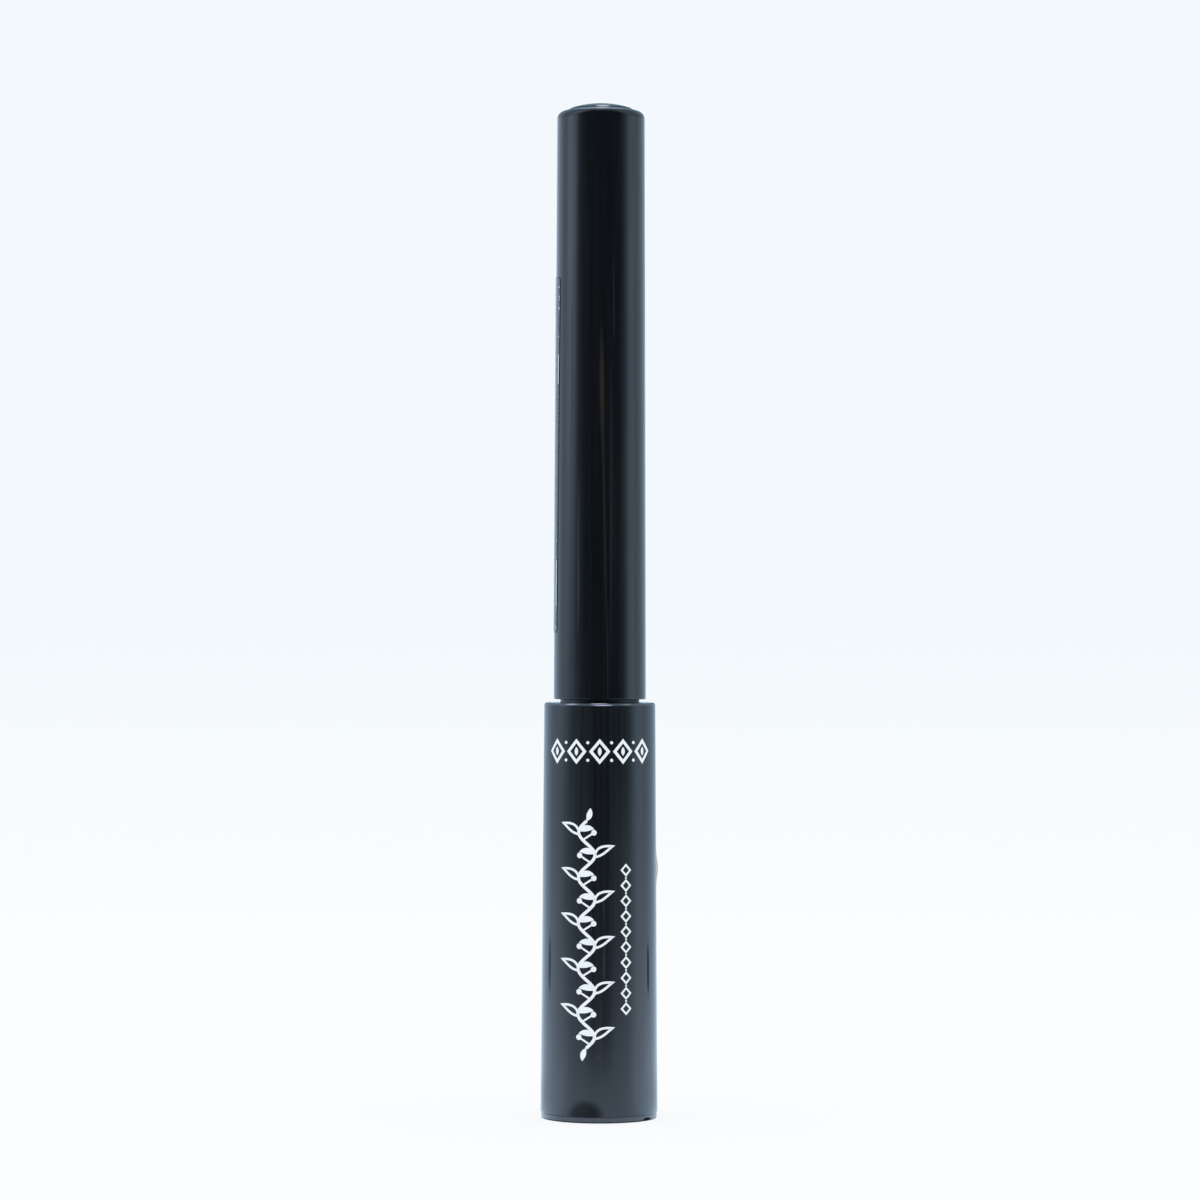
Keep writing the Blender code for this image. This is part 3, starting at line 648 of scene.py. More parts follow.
baseSizes = Sizes(
    flangeInset=0.1, flange=0.76, edgeRound=0.06, floor=1.1, leadIn=0.3, recessInset=2.6,
    recess=0.3, cradleInset=1.6, cradleWall=0.9, cradleTop=3.0, vialGap=0.1,
    dimple=1.3, dimpleDepth=0.22, gate=0.35, gateProud=0.12, witness=3.2, witnessHalf=0.1,
    dimpleSlope=0.25, groove=0.04, bevel=0.05, steps=160,
)
vialLow, vialHigh = boxOf("vial")
plugHigh = boxOf("base_plug")[1]


def makeBaseCap(sizes):
    flange, flangeTop = footRadius - sizes.flangeInset, sizes.flange
    skirt = bottleRadius(plugHigh.z) - bottleSizes.wall - clearance
    inside = vialHigh.x + sizes.vialGap
    recess = flange - sizes.recessInset
    cradle = vialHigh.x - sizes.cradleInset
    cradleInside = cradle - sizes.cradleWall
    ceiling, floor, top = sizes.recess, sizes.floor, plugHigh.z
    dimple, gateEnd = ceiling + sizes.dimpleDepth, ceiling + sizes.dimpleDepth - sizes.gateProud
    witness, groove, edge, bevel = sizes.witness, sizes.groove, sizes.edgeRound, sizes.bevel
    outline = [
        (0, gateEnd), (sizes.gate, gateEnd), (sizes.gate + groove, dimple),
        (sizes.dimple - sizes.dimpleSlope, dimple), (sizes.dimple, ceiling),
        (witness - sizes.witnessHalf, ceiling), (witness - groove, ceiling - groove),
        (witness + groove, ceiling - groove), (witness + sizes.witnessHalf, ceiling),
        (recess - ceiling, ceiling), (recess - edge, bevel), (recess, 0),
    ]
    outline += arc(flange - edge, edge, edge, -quarterTurn, 0)
    outline += [
        (flange, flangeTop - bevel), (flange - bevel, flangeTop), (skirt, flangeTop),
        (skirt, top - sizes.leadIn), (skirt - sizes.leadIn, top), (inside, top), (inside, floor),
        (cradle, floor), (cradle, sizes.cradleTop), (cradleInside, sizes.cradleTop), (cradleInside, floor),
        (0, floor),
    ]
    placePiece("baseCap", turned(outline, basePlastic, sizes.steps), "bottle", ["base_plug"])


makeBaseCap(baseSizes)

vialSizes = Sizes(
    wall=0.9, corner=0.8, shoulderBevel=0.3, collarTop=54.9, collarBevel=0.15, neckWall=0.8,
    rimRound=0.2, wiperInset=0.15, floorThickness=1.0, neckFillet=0.12, rimBevel=0.06, steps=144,
)
maleThread = Sizes(depth=0.4, sink=0.12, rootWidth=0.85, tipWidth=0.34, pitch=1.5, turns=3.0, start=56.6)
wiperHigh = boxOf("wiper")[1]
neckRadius = wiperHigh.x + vialSizes.wiperInset


def makeVial(sizes, thread):
    outer, inside = vialHigh.x, vialHigh.x - sizes.wall
    bore = neckRadius - sizes.neckWall
    shoulder = bottleTop - bottleSizes.roof - clearance
    throat, collar = shoulder - sizes.wall, sizes.collarTop
    floor = vialLow.z + sizes.floorThickness
    corner, slope, rim, bevel = sizes.corner, sizes.shoulderBevel, sizes.rimRound, sizes.rimBevel
    outline = [(0, vialLow.z)]
    outline += arc(outer - corner, vialLow.z + corner, corner, -quarterTurn, 0)
    outline += [
        (outer, shoulder - slope), (outer - slope, shoulder), (collarRadius, shoulder),
        (collarRadius, collar - sizes.collarBevel), (collarRadius - sizes.collarBevel, collar),
        (neckRadius + sizes.neckFillet, collar), (neckRadius, collar + sizes.neckFillet),
    ]
    outline += arc(neckRadius - rim, vialHigh.z - rim, rim, 0, quarterTurn, 5)
    outline += [
        (bore + bevel, vialHigh.z), (bore, vialHigh.z - bevel), (bore, throat),
        (inside, throat - (inside - bore)),
    ]
    outline += arc(inside - corner, floor + corner, corner, 0, -quarterTurn)
    outline += [(0, floor)]
    plain = turned(outline, innerPlastic, sizes.steps)
    mesh = madeBy(threadNodes, plain, **thread, coreRadius=neckRadius, finish=innerPlastic)
    placePiece("vialWithNeck", mesh, "bottle", ["vial"])


makeVial(vialSizes, maleThread)

wiperSizes = Sizes(
    wall=0.5, flange=0.45, sleeve=3.6, funnel=2.2, lip=0.9, lipWall=0.35, lipRadius=1.35,
    bead=0.03, beadHalf=0.35, mouthRound=0.2, edge=0.12, rim=0.08, bevel=0.06, steps=120,
)


def makeWiper(sizes):
    top, flange = wiperHigh.z, wiperHigh.x
    seat = top - sizes.flange
    outer = neckRadius - vialSizes.neckWall - clearance
    inside = outer - sizes.wall
    funnelTop = top - sizes.sleeve
    funnelEnd = funnelTop - sizes.funnel
    lipEnd = funnelEnd - sizes.lip
    lip, lipOut = sizes.lipRadius, sizes.lipRadius + sizes.lipWall
    bead = (funnelTop + seat) / 2
    mouth, edge, rim, bevel = sizes.mouthRound, sizes.edge, sizes.rim, sizes.bevel
    outline = [
        (lipOut - edge, lipEnd), (lipOut, lipEnd + edge), (lipOut, funnelEnd),
        (outer, funnelTop - sizes.wall), (outer, bead - sizes.beadHalf), (outer + sizes.bead, bead),
        (outer, bead + sizes.beadHalf), (outer, seat),
        (flange - bevel, seat), (flange, seat + bevel), (flange, top - edge), (flange - edge, top),
    ]
    outline += arc(inside + mouth, top - mouth, mouth, quarterTurn, 2 * quarterTurn, 5)
    outline += [
        (inside, funnelTop), (lip + bevel, funnelEnd + bevel), (lip, funnelEnd - rim), (lip, lipEnd + rim),
        (lip + rim, lipEnd),
    ]
    placePiece("wiperPlug", turned(outline, softWhite, sizes.steps), "bottle", ["wiper"])


makeWiper(wiperSizes)

ballLow, ballHigh = boxOf("mixing_ball")


def makeBall():
    shape = bmesh.new()
    bmesh.ops.create_icosphere(shape, subdivisions=5, radius=(ballHigh.z - ballLow.z) / 2)
    bmesh.ops.translate(shape, verts=shape.verts, vec=(ballLow + ballHigh) / 2)
    placePiece("steelBall", closeShape(shape, ballSteel), "ball", ["mixing_ball"])


makeBall()
print("bottle ready")


stemSizes = Sizes(
    radius=1.25, endRadius=0.95, barrelShare=0.45, spigotInset=0.3, spigotBevel=0.1, endBevel=0.04,
    flange=0.45, fillet=0.15, headStart=0.4, ribStart=0.6, headBevel=0.25, ribDepth=0.12,
    ribWidth=0.34, ribMargin=0.1, ribs=12, steps=96,
)
ferruleSizes = Sizes(nose=1.9, noseBevel=(0.1, 0.3), noseWall=0.18, bore=0.43, seam=0.03, steps=96)
tuftSizes = Sizes(count=420, rootDepth=1.5, length=9.0, fullRadius=0.485, strandRadius=0.026, seed=5)
stemLow, stemHigh = boxOf("stem")
ferruleLow, ferruleHigh = boxOf("brush_ferrule")
linerLow, linerHigh = boxOf("seal_liner")
stemEnd = ferruleHigh.z + clearance
roofLow = linerHigh.z + clearance


def makeStem(sizes):
    low, high, flange = stemLow.z, stemHigh.z, stemHigh.x
    radius, end = sizes.radius, sizes.endRadius
    flangeTop = linerLow.z - clearance
    flangeLow = flangeTop - sizes.flange
    taperTop = flangeLow - (flangeLow - stemEnd) * sizes.barrelShare
    spigot = end - sizes.spigotInset
    core = radius - sizes.ribDepth
    tip, bevel, edge = sizes.spigotBevel, sizes.endBevel, clearance
    outline = [
        (0, low), (spigot - tip, low), (spigot, low + tip), (spigot, stemEnd), (end - bevel, stemEnd),
        (end, stemEnd + bevel), (radius, taperTop), (radius, flangeLow - sizes.fillet),
        (radius + sizes.fillet, flangeLow), (flange - edge, flangeLow), (flange, flangeLow + edge),
        (flange, flangeTop - edge), (flange - edge, flangeTop), (radius, flangeTop),
        (radius, roofLow + sizes.headStart), (core, roofLow + sizes.ribStart),
        (core, high - sizes.headBevel), (core - sizes.headBevel, high), (0, high),
    ]
    plain = turned(outline, innerPlastic, sizes.steps)
    mesh = madeBy(
        ribNodes, plain, count=sizes.ribs, radius=core, width=sizes.ribWidth, depth=sizes.ribDepth - ribSink,
        low=roofLow + sizes.ribStart, high=high - sizes.headBevel - sizes.ribMargin, finish=innerPlastic)
    placePiece("stemRod", mesh, "applicator", ["stem"])


def makeFerrule(sizes):
    low, high = ferruleLow.z, ferruleHigh.z
    radius, bore = ferruleHigh.x, sizes.bore
    socket = stemSizes.endRadius - stemSizes.spigotInset + clearance
    noseTop, nose, edge = low + sizes.nose, bore + sizes.noseWall, stemSizes.endBevel
    outline = [
        (bore, low), (nose - edge, low), (nose, low + edge),
        (radius - sizes.noseBevel[0], noseTop - sizes.noseBevel[1]), (radius, noseTop),
        (radius, high - clearance), (radius - sizes.seam, high), (socket, high),
        (socket, stemLow.z - clearance), (bore, stemLow.z - clearance),
    ]
    mesh = turned(outline, innerPlastic, sizes.steps)
    placePiece("ferruleTube", mesh, "applicator", ["brush_ferrule"])


def makeTuft(sizes):
    blank = bpy.data.meshes.new("blank")
    mesh = madeBy(bristleNodes, blank, **sizes, top=ferruleLow.z, finish=brushFibre)
    placePiece("bristleTuft", mesh, "applicator", ["brush_tuft"], sharp=60)


makeStem(stemSizes)
makeFerrule(ferruleSizes)
makeTuft(tuftSizes)
print("applicator ready")


capSizes = Sizes(
    wall=0.74, mouthBevel=0.12, taper=0.3, wallHeight=74.68, shoulder=1.045, shoulderSlope=18,
    ceiling=1.2, ceilingRound=0.6, discMargin=1.64, discGap=0.05, discRim=0.6, ledge=0.62,
    seatRound=0.05, steps=192,
)
discSizes = Sizes(proud=0.11, crown=0.65, wall=0.7, spigot=2.4, leadIn=0.2, edgeRound=0.08, steps=160)
capLow, capHigh = boxOf("cap_shell")
capMouth, capRadius = capLow.z, capHigh.x
capWallLow = capMouth + capSizes.mouthBevel
capWallHigh = capMouth + capSizes.wallHeight
capTopRadius = capRadius - capSizes.taper
capSlope = -capSizes.taper / (capWallHigh - capWallLow)
discRadius = capTopRadius - capSizes.discMargin
discSeat = capHigh.z - capSizes.discRim
endHole = discRadius - capSizes.ledge


def capWallRadius(z):
    return capRadius + capSlope * (z - capWallLow)


def makeCapShell(sizes):
    mouthInside = capRadius - sizes.wall
    ceiling = discSeat - sizes.ceiling
    boreTop = ceiling - sizes.ceilingRound
    cornerR = capWallRadius(boreTop) - sizes.wall - sizes.ceilingRound
    turn = quarterTurn - math.radians(sizes.shoulderSlope)
    seatRadius = discRadius + sizes.discGap
    bevel = sizes.mouthBevel
    outline = [(mouthInside + bevel, capMouth)]
    outline += arc(capRadius - bevel, capMouth + bevel, bevel, -quarterTurn, 0, 5)
    outline += arc(capTopRadius - sizes.shoulder, capWallHigh, sizes.shoulder, 0, turn, 18)
    outline += [
        (seatRadius + sizes.seatRound, capHigh.z - 0.3 * sizes.seatRound),
        (seatRadius, capHigh.z - 1.2 * sizes.seatRound), (seatRadius, discSeat),
        (endHole, discSeat), (endHole, ceiling),
    ]
    outline += arc(cornerR, boreTop, sizes.ceilingRound, quarterTurn, 0, 6)
    outline += [(mouthInside, capMouth + bevel)]
    placePiece("capShell", turned(outline, capPlastic, sizes.steps), "cap", ["cap_shell"])


def makeEndDisc(sizes):
    rimTop = capHigh.z + sizes.proud
    sphere = (discRadius ** 2 + sizes.crown ** 2) / (2 * sizes.crown)
    centre = rimTop + sizes.crown - sphere
    seat = discSeat + clearance
    spigot, edge = endHole - clearance, sizes.edgeRound
    low = seat - sizes.spigot
    inside = spigot - sizes.wall
    lean = math.asin((discRadius - edge) / sphere)
    outline = [
        (inside, low), (spigot - sizes.leadIn, low), (spigot, low + sizes.leadIn), (spigot, seat),
        (discRadius, seat), (discRadius, rimTop - edge), (discRadius - 0.25 * edge, rimTop - 0.35 * edge),
    ]
    outline += arc(0, centre, sphere, quarterTurn - lean, quarterTurn, 16)[:-1]
    outline += [(0, centre + sphere), (0, seat), (inside, seat)]
    placePiece("endDisc", turned(outline, discPlastic, sizes.steps), "cap", ["cap_end_disc"])


innerSizes = Sizes(
    wall=0.58, mouthBevel=0.2, roof=1.4, socketWall=0.9, socket=1.3, socketBevel=0.12, ribDepth=0.12,
    ribWidth=0.62, ribs=24, ribMargin=0.1, rim=0.08, bevel=0.06, steps=144,
)
femaleThread = Sizes(depth=-0.4, sink=0.1, rootWidth=0.85, tipWidth=0.34, pitch=1.5, turns=2.0, start=57.35)


def makeInnerCap(sizes, thread):
    low, high, radius = innerLow.z, innerHigh.z, innerHigh.x
    bore = radius - sizes.wall
    roofTop = roofLow + sizes.roof
    core = radius - sizes.ribDepth
    socket, socketOut = sizes.socket, sizes.socket + sizes.socketWall
    mouth, lead = sizes.mouthBevel, sizes.socketBevel
    margin, rim, bevel = sizes.ribMargin, sizes.rim, sizes.bevel
    outline = [
        (bore + mouth, low), (radius - bevel, low), (radius, low + bevel), (radius, roofLow),
        (core, roofLow + margin), (core, high - margin), (core - margin, high), (bore, high), (bore, roofTop),
        (socketOut, roofTop), (socketOut, high - rim), (socketOut - rim, high), (socket + lead, high),
        (socket, high - lead), (socket, roofLow), (bore, roofLow), (bore, low + mouth),
    ]
    plain = turned(outline, innerPlastic, sizes.steps)
    threaded = madeBy(threadNodes, plain, **thread, coreRadius=bore, finish=innerPlastic)
    mesh = madeBy(
        ribNodes, threaded, count=sizes.ribs, radius=core, width=sizes.ribWidth,
        depth=sizes.ribDepth - ribSink, low=roofLow + clearance, high=high - margin - clearance,
        finish=innerPlastic)
    placePiece("innerCapBody", mesh, "cap", ["inner_cap"])


sealSizes = Sizes(inner=1.35, dent=0.06, dentWidth=0.5, dentInset=0.35, bevel=0.08, edge=0.05, steps=120)


def makeSeal(sizes):
    # the neck's rim has pressed a ring into the washer
    inner, rim, low, high = sizes.inner, linerHigh.x, linerLow.z, linerHigh.z
    first = neckRadius - sizes.dentInset - sizes.dentWidth / 2
    last = neckRadius - sizes.dentInset + sizes.dentWidth / 2
    bevel, edge = sizes.bevel, sizes.edge
    outline = [
        (inner, low), (first - bevel, low), (first, low + sizes.dent), (last, low + sizes.dent),
        (last + bevel, low), (rim - edge, low), (rim, low + bevel), (rim, high - edge), (rim - edge, high),
        (inner, high),
    ]
    placePiece("sealRing", turned(outline, foamWhite, sizes.steps), "cap", ["seal_liner"])


makeCapShell(capSizes)
makeEndDisc(discSizes)
makeInnerCap(innerSizes, femaleThread)
makeSeal(sealSizes)
print("cap ready")


def eased(share):
    return 0.5 - 0.5 * math.cos(math.pi * share)


def filmSheet(columns, radiusAt, sizes, insetAt, finish, lift=None, turn=None):
    # columns are (angle from the front, low, high); the sheet is one thin closed body
    shape = bmesh.new()
    inset = shape.verts.layers.float.new("inset")
    grid = []
    for angle, low, high in columns:
        levels = [low + (high - low) * eased(i / sizes.rows) for i in range(sizes.rows + 1)]
        pair = []
        for out in (sizes.gap, sizes.gap + sizes.thickness):
            pair.append([])
            for z in levels:
                radius = radiusAt(z) + out + (lift(angle, z) if lift else 0)
                way = angle + (turn(z) if turn else 0)
                vert = shape.verts.new((radius * math.sin(way), -radius * math.cos(way), z))
                vert[inset] = max(0.0, min(insetAt(angle, z), 1.0))
                pair[-1].append(vert)
        grid.append(pair)
    for (inner, outer), (nextInner, nextOuter) in zip(grid, grid[1:]):
        for i in range(sizes.rows):
            shape.faces.new((outer[i], nextOuter[i], nextOuter[i + 1], outer[i + 1]))
            shape.faces.new((inner[i + 1], nextInner[i + 1], nextInner[i], inner[i]))
        shape.faces.new((inner[0], nextInner[0], nextOuter[0], outer[0]))
        shape.faces.new((outer[-1], nextOuter[-1], nextInner[-1], inner[-1]))
    for inner, outer in (grid[0], grid[-1]):
        for i in range(sizes.rows):
            shape.faces.new((inner[i], outer[i], outer[i + 1], inner[i + 1]))
    return closeShape(shape, finish)


labelSizes = Sizes(
    start=8.55, height=45.7, corner=0.7, firstAngle=-68.9, lastAngle=-243.0, slant=4.6,
    gap=0.02, thickness=0.065, columns=150, rows=60,
)


def makeCapLabel(sizes):
    low = capMouth + sizes.start
    high = low + sizes.height
    first, last = math.radians(sizes.firstAngle), math.radians(sizes.lastAngle)
    slant = math.radians(sizes.slant)
    columns = []
    for i in range(sizes.columns + 1):
        angle = first + (last - first) * eased(i / sizes.columns)
        edge = min(abs(angle - first), abs(angle - last)) * capRadius
        short = sizes.corner - min(edge, sizes.corner)
        cut = sizes.corner - math.sqrt(max(0, sizes.corner ** 2 - short ** 2))
        columns.append((angle, low + cut, high - cut))

    def inset(angle, z):
        side = min(abs(angle - first), abs(angle - last)) * capRadius
        end = min(z - low, high - z)
        if side < sizes.corner and end < sizes.corner:
            return sizes.corner - math.hypot(sizes.corner - side, sizes.corner - end)
        return min(side, end)

    def turn(z):
        return slant * (z - low) / (high - low)

    mesh = filmSheet(columns, capWallRadius, sizes, inset, clearFilm, turn=turn)
    placePiece("capLabel", mesh, "cap", ["cap_film"])


dotSizes = Sizes(
    radius=5.4, height=32.1, angle=132.4, gap=0.01, thickness=0.03, lift=0.183, liftFrom=4.2,
    liftHalf=1.9, endShare=0.9985, columns=96, rows=60,
)


def makeClearDot(sizes):
    centre, middle = math.radians(sizes.angle), sizes.height
    wrap = bottleRadius(middle)
    columns = []
    for i in range(sizes.columns + 1):
        across = -sizes.radius * sizes.endShare * math.cos(math.pi * i / sizes.columns)
        half = math.sqrt(sizes.radius ** 2 - across ** 2)
        columns.append((centre + across / wrap, middle - half, middle + half))

    def lift(angle, z):
        # the edge nearest the front has come loose in one short place
        across = (centre - angle) * wrap
        share = min(1, max(0, (across - sizes.liftFrom) / (sizes.radius - sizes.liftFrom)))
        beside = min(1, abs(z - middle) / sizes.liftHalf)
        return sizes.lift * share ** 1.5 * (1 - beside ** 2) ** 2

    def inset(angle, z):
        return sizes.radius - math.hypot((angle - centre) * wrap, z - middle)

    mesh = filmSheet(columns, bottleRadius, sizes, inset, thinFilm, lift)
    placePiece("clearDot", mesh, "bottle", ["bottle_sticker"])


makeCapLabel(labelSizes)
makeClearDot(dotSizes)
print("films ready")


# white print: a band of lozenges, a leafy scroll and a row of small lozenges
printSizes = Sizes(proud=0.016, sunk=0.012, spacing=0.32, finest=0.03, swell=0.8, sharpest=0.4)


def addStroke(shape, line, widths, closed=False):
    # a flat ribbon with some thickness; its corners are mitred
    count = len(line)
    rails = []
    for i, (x, y) in enumerate(line):
        before = Vector(line[i - 1]) if i or closed else None
        after = Vector(line[(i + 1) % count]) if i < count - 1 or closed else None
        here = Vector((x, y))
        came = (here - before).normalized() if before else (after - here).normalized()
        goes = (after - here).normalized() if after else came
        along = (came + goes).normalized()
        side = Vector((-along.y, along.x))
        square = max(printSizes.sharpest, side.dot(Vector((-came.y, came.x))))
        half = widths[i] / 2 / square
        rails.append([here + side * half, here, here - side * half])
    low, high = -printSizes.sunk, printSizes.proud
    rows = [[[shape.verts.new((p.x, p.y, z)) for p in rail] for z in (low, high)] for rail in rails]
    pairs = list(zip(rows, rows[1:]))
    if closed:
        pairs.append((rows[-1], rows[0]))
    for (lowA, highA), (lowB, highB) in pairs:
        for k in (0, 1):
            shape.faces.new((highA[k], highA[k + 1], highB[k + 1], highB[k]))
            shape.faces.new((lowA[k + 1], lowA[k], lowB[k], lowB[k + 1]))
        shape.faces.new((lowA[0], highA[0], highB[0], lowB[0]))
        shape.faces.new((highA[2], lowA[2], lowB[2], highB[2]))
    if not closed:
        for lowEnd, highEnd in (rows[0], rows[-1]):
            for k in (0, 1):
                shape.faces.new((lowEnd[k], lowEnd[k + 1], highEnd[k + 1], highEnd[k]))


def spaced(corners, closed=False):
    line = []
    ends = corners[1:] + corners[:1] if closed else corners[1:]
    for (x0, y0), (x1, y1) in zip(corners, ends):
        parts = max(1, round(math.hypot(x1 - x0, y1 - y0) / printSizes.spacing))
        line += [(x0 + (x1 - x0) * i / parts, y0 + (y1 - y0) * i / parts) for i in range(parts)]
    return line if closed else line + [corners[-1]]


def addLozenge(shape, x, y, halfWidth, halfHeight, stroke):
    corners = [(x + halfWidth, y), (x, y + halfHeight), (x - halfWidth, y), (x, y - halfHeight)]
    line = spaced(corners, closed=True)
    addStroke(shape, line, [stroke] * len(line), closed=True)


def addSeed(shape, x, y, length, width, angle=quarterTurn, bend=0.0, steps=10):
    # a leaf or seed: pointed at both ends, from its root at x, y
    line, widths = [], []
    for i in range(steps + 1):
        t = i / steps
        heading = angle + bend * (t - 0.5)
        line.append((x + length * t * math.cos(heading), y + length * t * math.sin(heading)))
        widths.append(max(printSizes.finest, width * math.sin(math.pi * t) ** printSizes.swell))
    addStroke(shape, line, widths)


def addOpenLeaf(shape, x, y, leaf, heading, bend, steps=12):
    # a leaf drawn as its outline
    spine, half = [], []
    for i in range(steps + 1):
        t = i / steps
        way = heading + bend * (t - 0.5)
        spine.append((x + leaf.length * t * math.cos(way), y + leaf.length * t * math.sin(way)))
        half.append((leaf.wide - leaf.rim) / 2 * math.sin(math.pi * t ** printSizes.swell))
    left = [(px - h * math.sin(heading), py + h * math.cos(heading)) for (px, py), h in zip(spine, half)]
    right = [(px + h * math.sin(heading), py - h * math.cos(heading)) for (px, py), h in zip(spine, half)]
    line = [spine[0]] + right[1:-1] + [spine[-1]] + left[-2:0:-1]
    addStroke(shape, line, [leaf.rim] * len(line), closed=True)


def addDot(shape, x, y, radius, sides=16):
    line = [(x, y - radius + 2 * radius * eased(i / sides)) for i in range(sides + 1)]
    widths = [2 * math.sqrt(max(0.0001, radius ** 2 - (py - y) ** 2)) for _, py in line]
    addStroke(shape, line, widths)


def placePrint(name, shape, count, start, step):
    mesh = madeBy(
        printNodes, closeShape(shape, whiteInk), count=count, start=start, step=step,
        wrapRadius=bottleRadius(start[1]), radiusAtZero=bottleRadius(0), slope=bottleSlope, finish=whiteInk)
    placePiece(name, mesh, "bottle")


bandSizes = Sizes(
    count=5, pitch=3.06, height=47.3, halfWidth=1.12, halfTall=1.33, stroke=0.38, seedLong=1.1,
    seedWide=0.5, dot=0.2, dotRise=1.12,
)
scrollSizes = Sizes(
    count=5, wave=5.78, sway=1.1, across=-1.69, low=9.57, stem=0.4, steps=28,
    leaf=Sizes(at=0.21, length=2.7, wide=1.2, lean=50, bend=-0.35, rim=0.3),
    small=Sizes(at=0.27, length=2.1, wide=0.8, lean=-68, bend=0.5),
    berry=Sizes(at=0.08, length=1.75, wide=0.24, lean=-58, radius=0.36),
    end=Sizes(length=1.7, wide=0.75, lean=25, bend=0.3),
)
rowSizes = Sizes(
    count=10, pitch=1.96, across=3.56, low=14.55, halfWidth=0.62, halfTall=0.66, stroke=0.24, dot=0.13,
)


def makeBand(sizes):
    shape = bmesh.new()
    addLozenge(shape, 0, 0, sizes.halfWidth, sizes.halfTall, sizes.stroke)
    addSeed(shape, 0, -sizes.seedLong / 2, sizes.seedLong, sizes.seedWide)
    placePrint("printBand", shape, sizes.count,
               (-sizes.pitch * (sizes.count - 1) / 2, sizes.height, 0), (sizes.pitch, 0, 0))
    dots = bmesh.new()
    for rise in (-sizes.dotRise, sizes.dotRise):
        addDot(dots, 0, rise, sizes.dot)
    placePrint("printBandDots", dots, sizes.count - 1,
               (-sizes.pitch * (sizes.count - 2) / 2, sizes.height, 0), (sizes.pitch, 0, 0))


def makeScroll(sizes):
    shape = bmesh.new()
    wave, sway, steps = sizes.wave, sizes.sway, sizes.steps

    def stem(share):
        return sway * math.sin(fullTurn * share), wave * share

    def heading(side, lean):
        return quarterTurn - side * math.radians(lean)

    leaf, small, berry, end = sizes.leaf, sizes.small, sizes.berry, sizes.end
    for side, crest in ((1, 0.0), (-1, 0.5)):
        x, y = stem(crest + leaf.at)
        addOpenLeaf(shape, x, y, leaf, heading(side, leaf.lean), side * leaf.bend)
        x, y = stem(crest + small.at)
        addSeed(shape, x, y, small.length, small.wide, heading(side, small.lean), side * small.bend)
        x, y = stem(crest + berry.at)
        way = heading(side, berry.lean)
        tip = (x + berry.length * math.cos(way), y + berry.length * math.sin(way))
        stalk = spaced([(x, y), tip])
        addStroke(shape, stalk, [berry.wide] * len(stalk))
        addDot(shape, tip[0], tip[1], berry.radius)
    placePrint("printScroll", shape, sizes.count, (sizes.across, sizes.low, 0), (0, wave, 0))
    vine = bmesh.new()
    count = steps * sizes.count + 1
    addStroke(vine, [stem(i / steps) for i in range(count)], [sizes.stem] * count)
    for y, turn in ((0, math.pi), (wave * sizes.count, 0)):
        addSeed(vine, 0, y, end.length, end.wide, heading(1, end.lean) + turn, end.bend)
    placePrint("printScrollVine", vine, 1, (sizes.across, sizes.low, 0), (0, wave, 0))


def makeSmallRow(sizes):
    shape = bmesh.new()
    addLozenge(shape, 0, 0, sizes.halfWidth, sizes.halfTall, sizes.stroke)
    placePrint("printSmallRow", shape, sizes.count, (sizes.across, sizes.low, 0), (0, sizes.pitch, 0))
    dots = bmesh.new()
    addDot(dots, 0, 0, sizes.dot)
    placePrint("printSmallDots", dots, sizes.count - 1,
               (sizes.across, sizes.low + sizes.pitch / 2, 0), (0, sizes.pitch, 0))


makeBand(bandSizes)
makeScroll(scrollSizes)
makeSmallRow(rowSizes)
print("print ready")


floorSizes = Sizes(radius=1.6, drop=0.00002, sides=96)
floorLook = Sizes(
    colour=(0.974, 0.984, 1.0, 1), glow=0.88, mirrored=(0.77, 1.0, 1.26, 1),
    # how bright the floor is in reflections, by angle from the front / 180
    gloss=[
        (0, 1.62), (0.17, 1.64), (0.31, 1.85), (0.42, 2.45), (0.58, 2.45), (0.68, 1.95), (0.78, 1.72),
        (0.89, 1.52), (1, 1.5),
    ],
    glossTop=3.0,
    # darker places of the floor in reflections: degrees from the front and metres, each with its two shares
    zones=[
        Sizes(angles=(13, 36, 1.0, 0.0), distances=(0.05, 0.14, 0.0, 1.0), loss=0.95),
        Sizes(angles=(85, 115, 0.0, 1.0), distances=(0.03, 0.08, 1.0, 0.0), loss=0.2),
    ],
    # share of the floor that is there, by distance / reach; the surroundings show through the rest
    fade=[
        (0, 1), (0.04, 0.99), (0.106, 0.79), (0.183, 0.51), (0.286, 0.34), (0.428, 0.25), (0.64, 0.17),
        (1, 0),
    ],
    reach=1.2,
)


def mixShaders(share, first, second):
    return addNode(treeOf(first), "ShaderNodeMixShader", {0: share, 1: first, 2: second}).outputs[0]


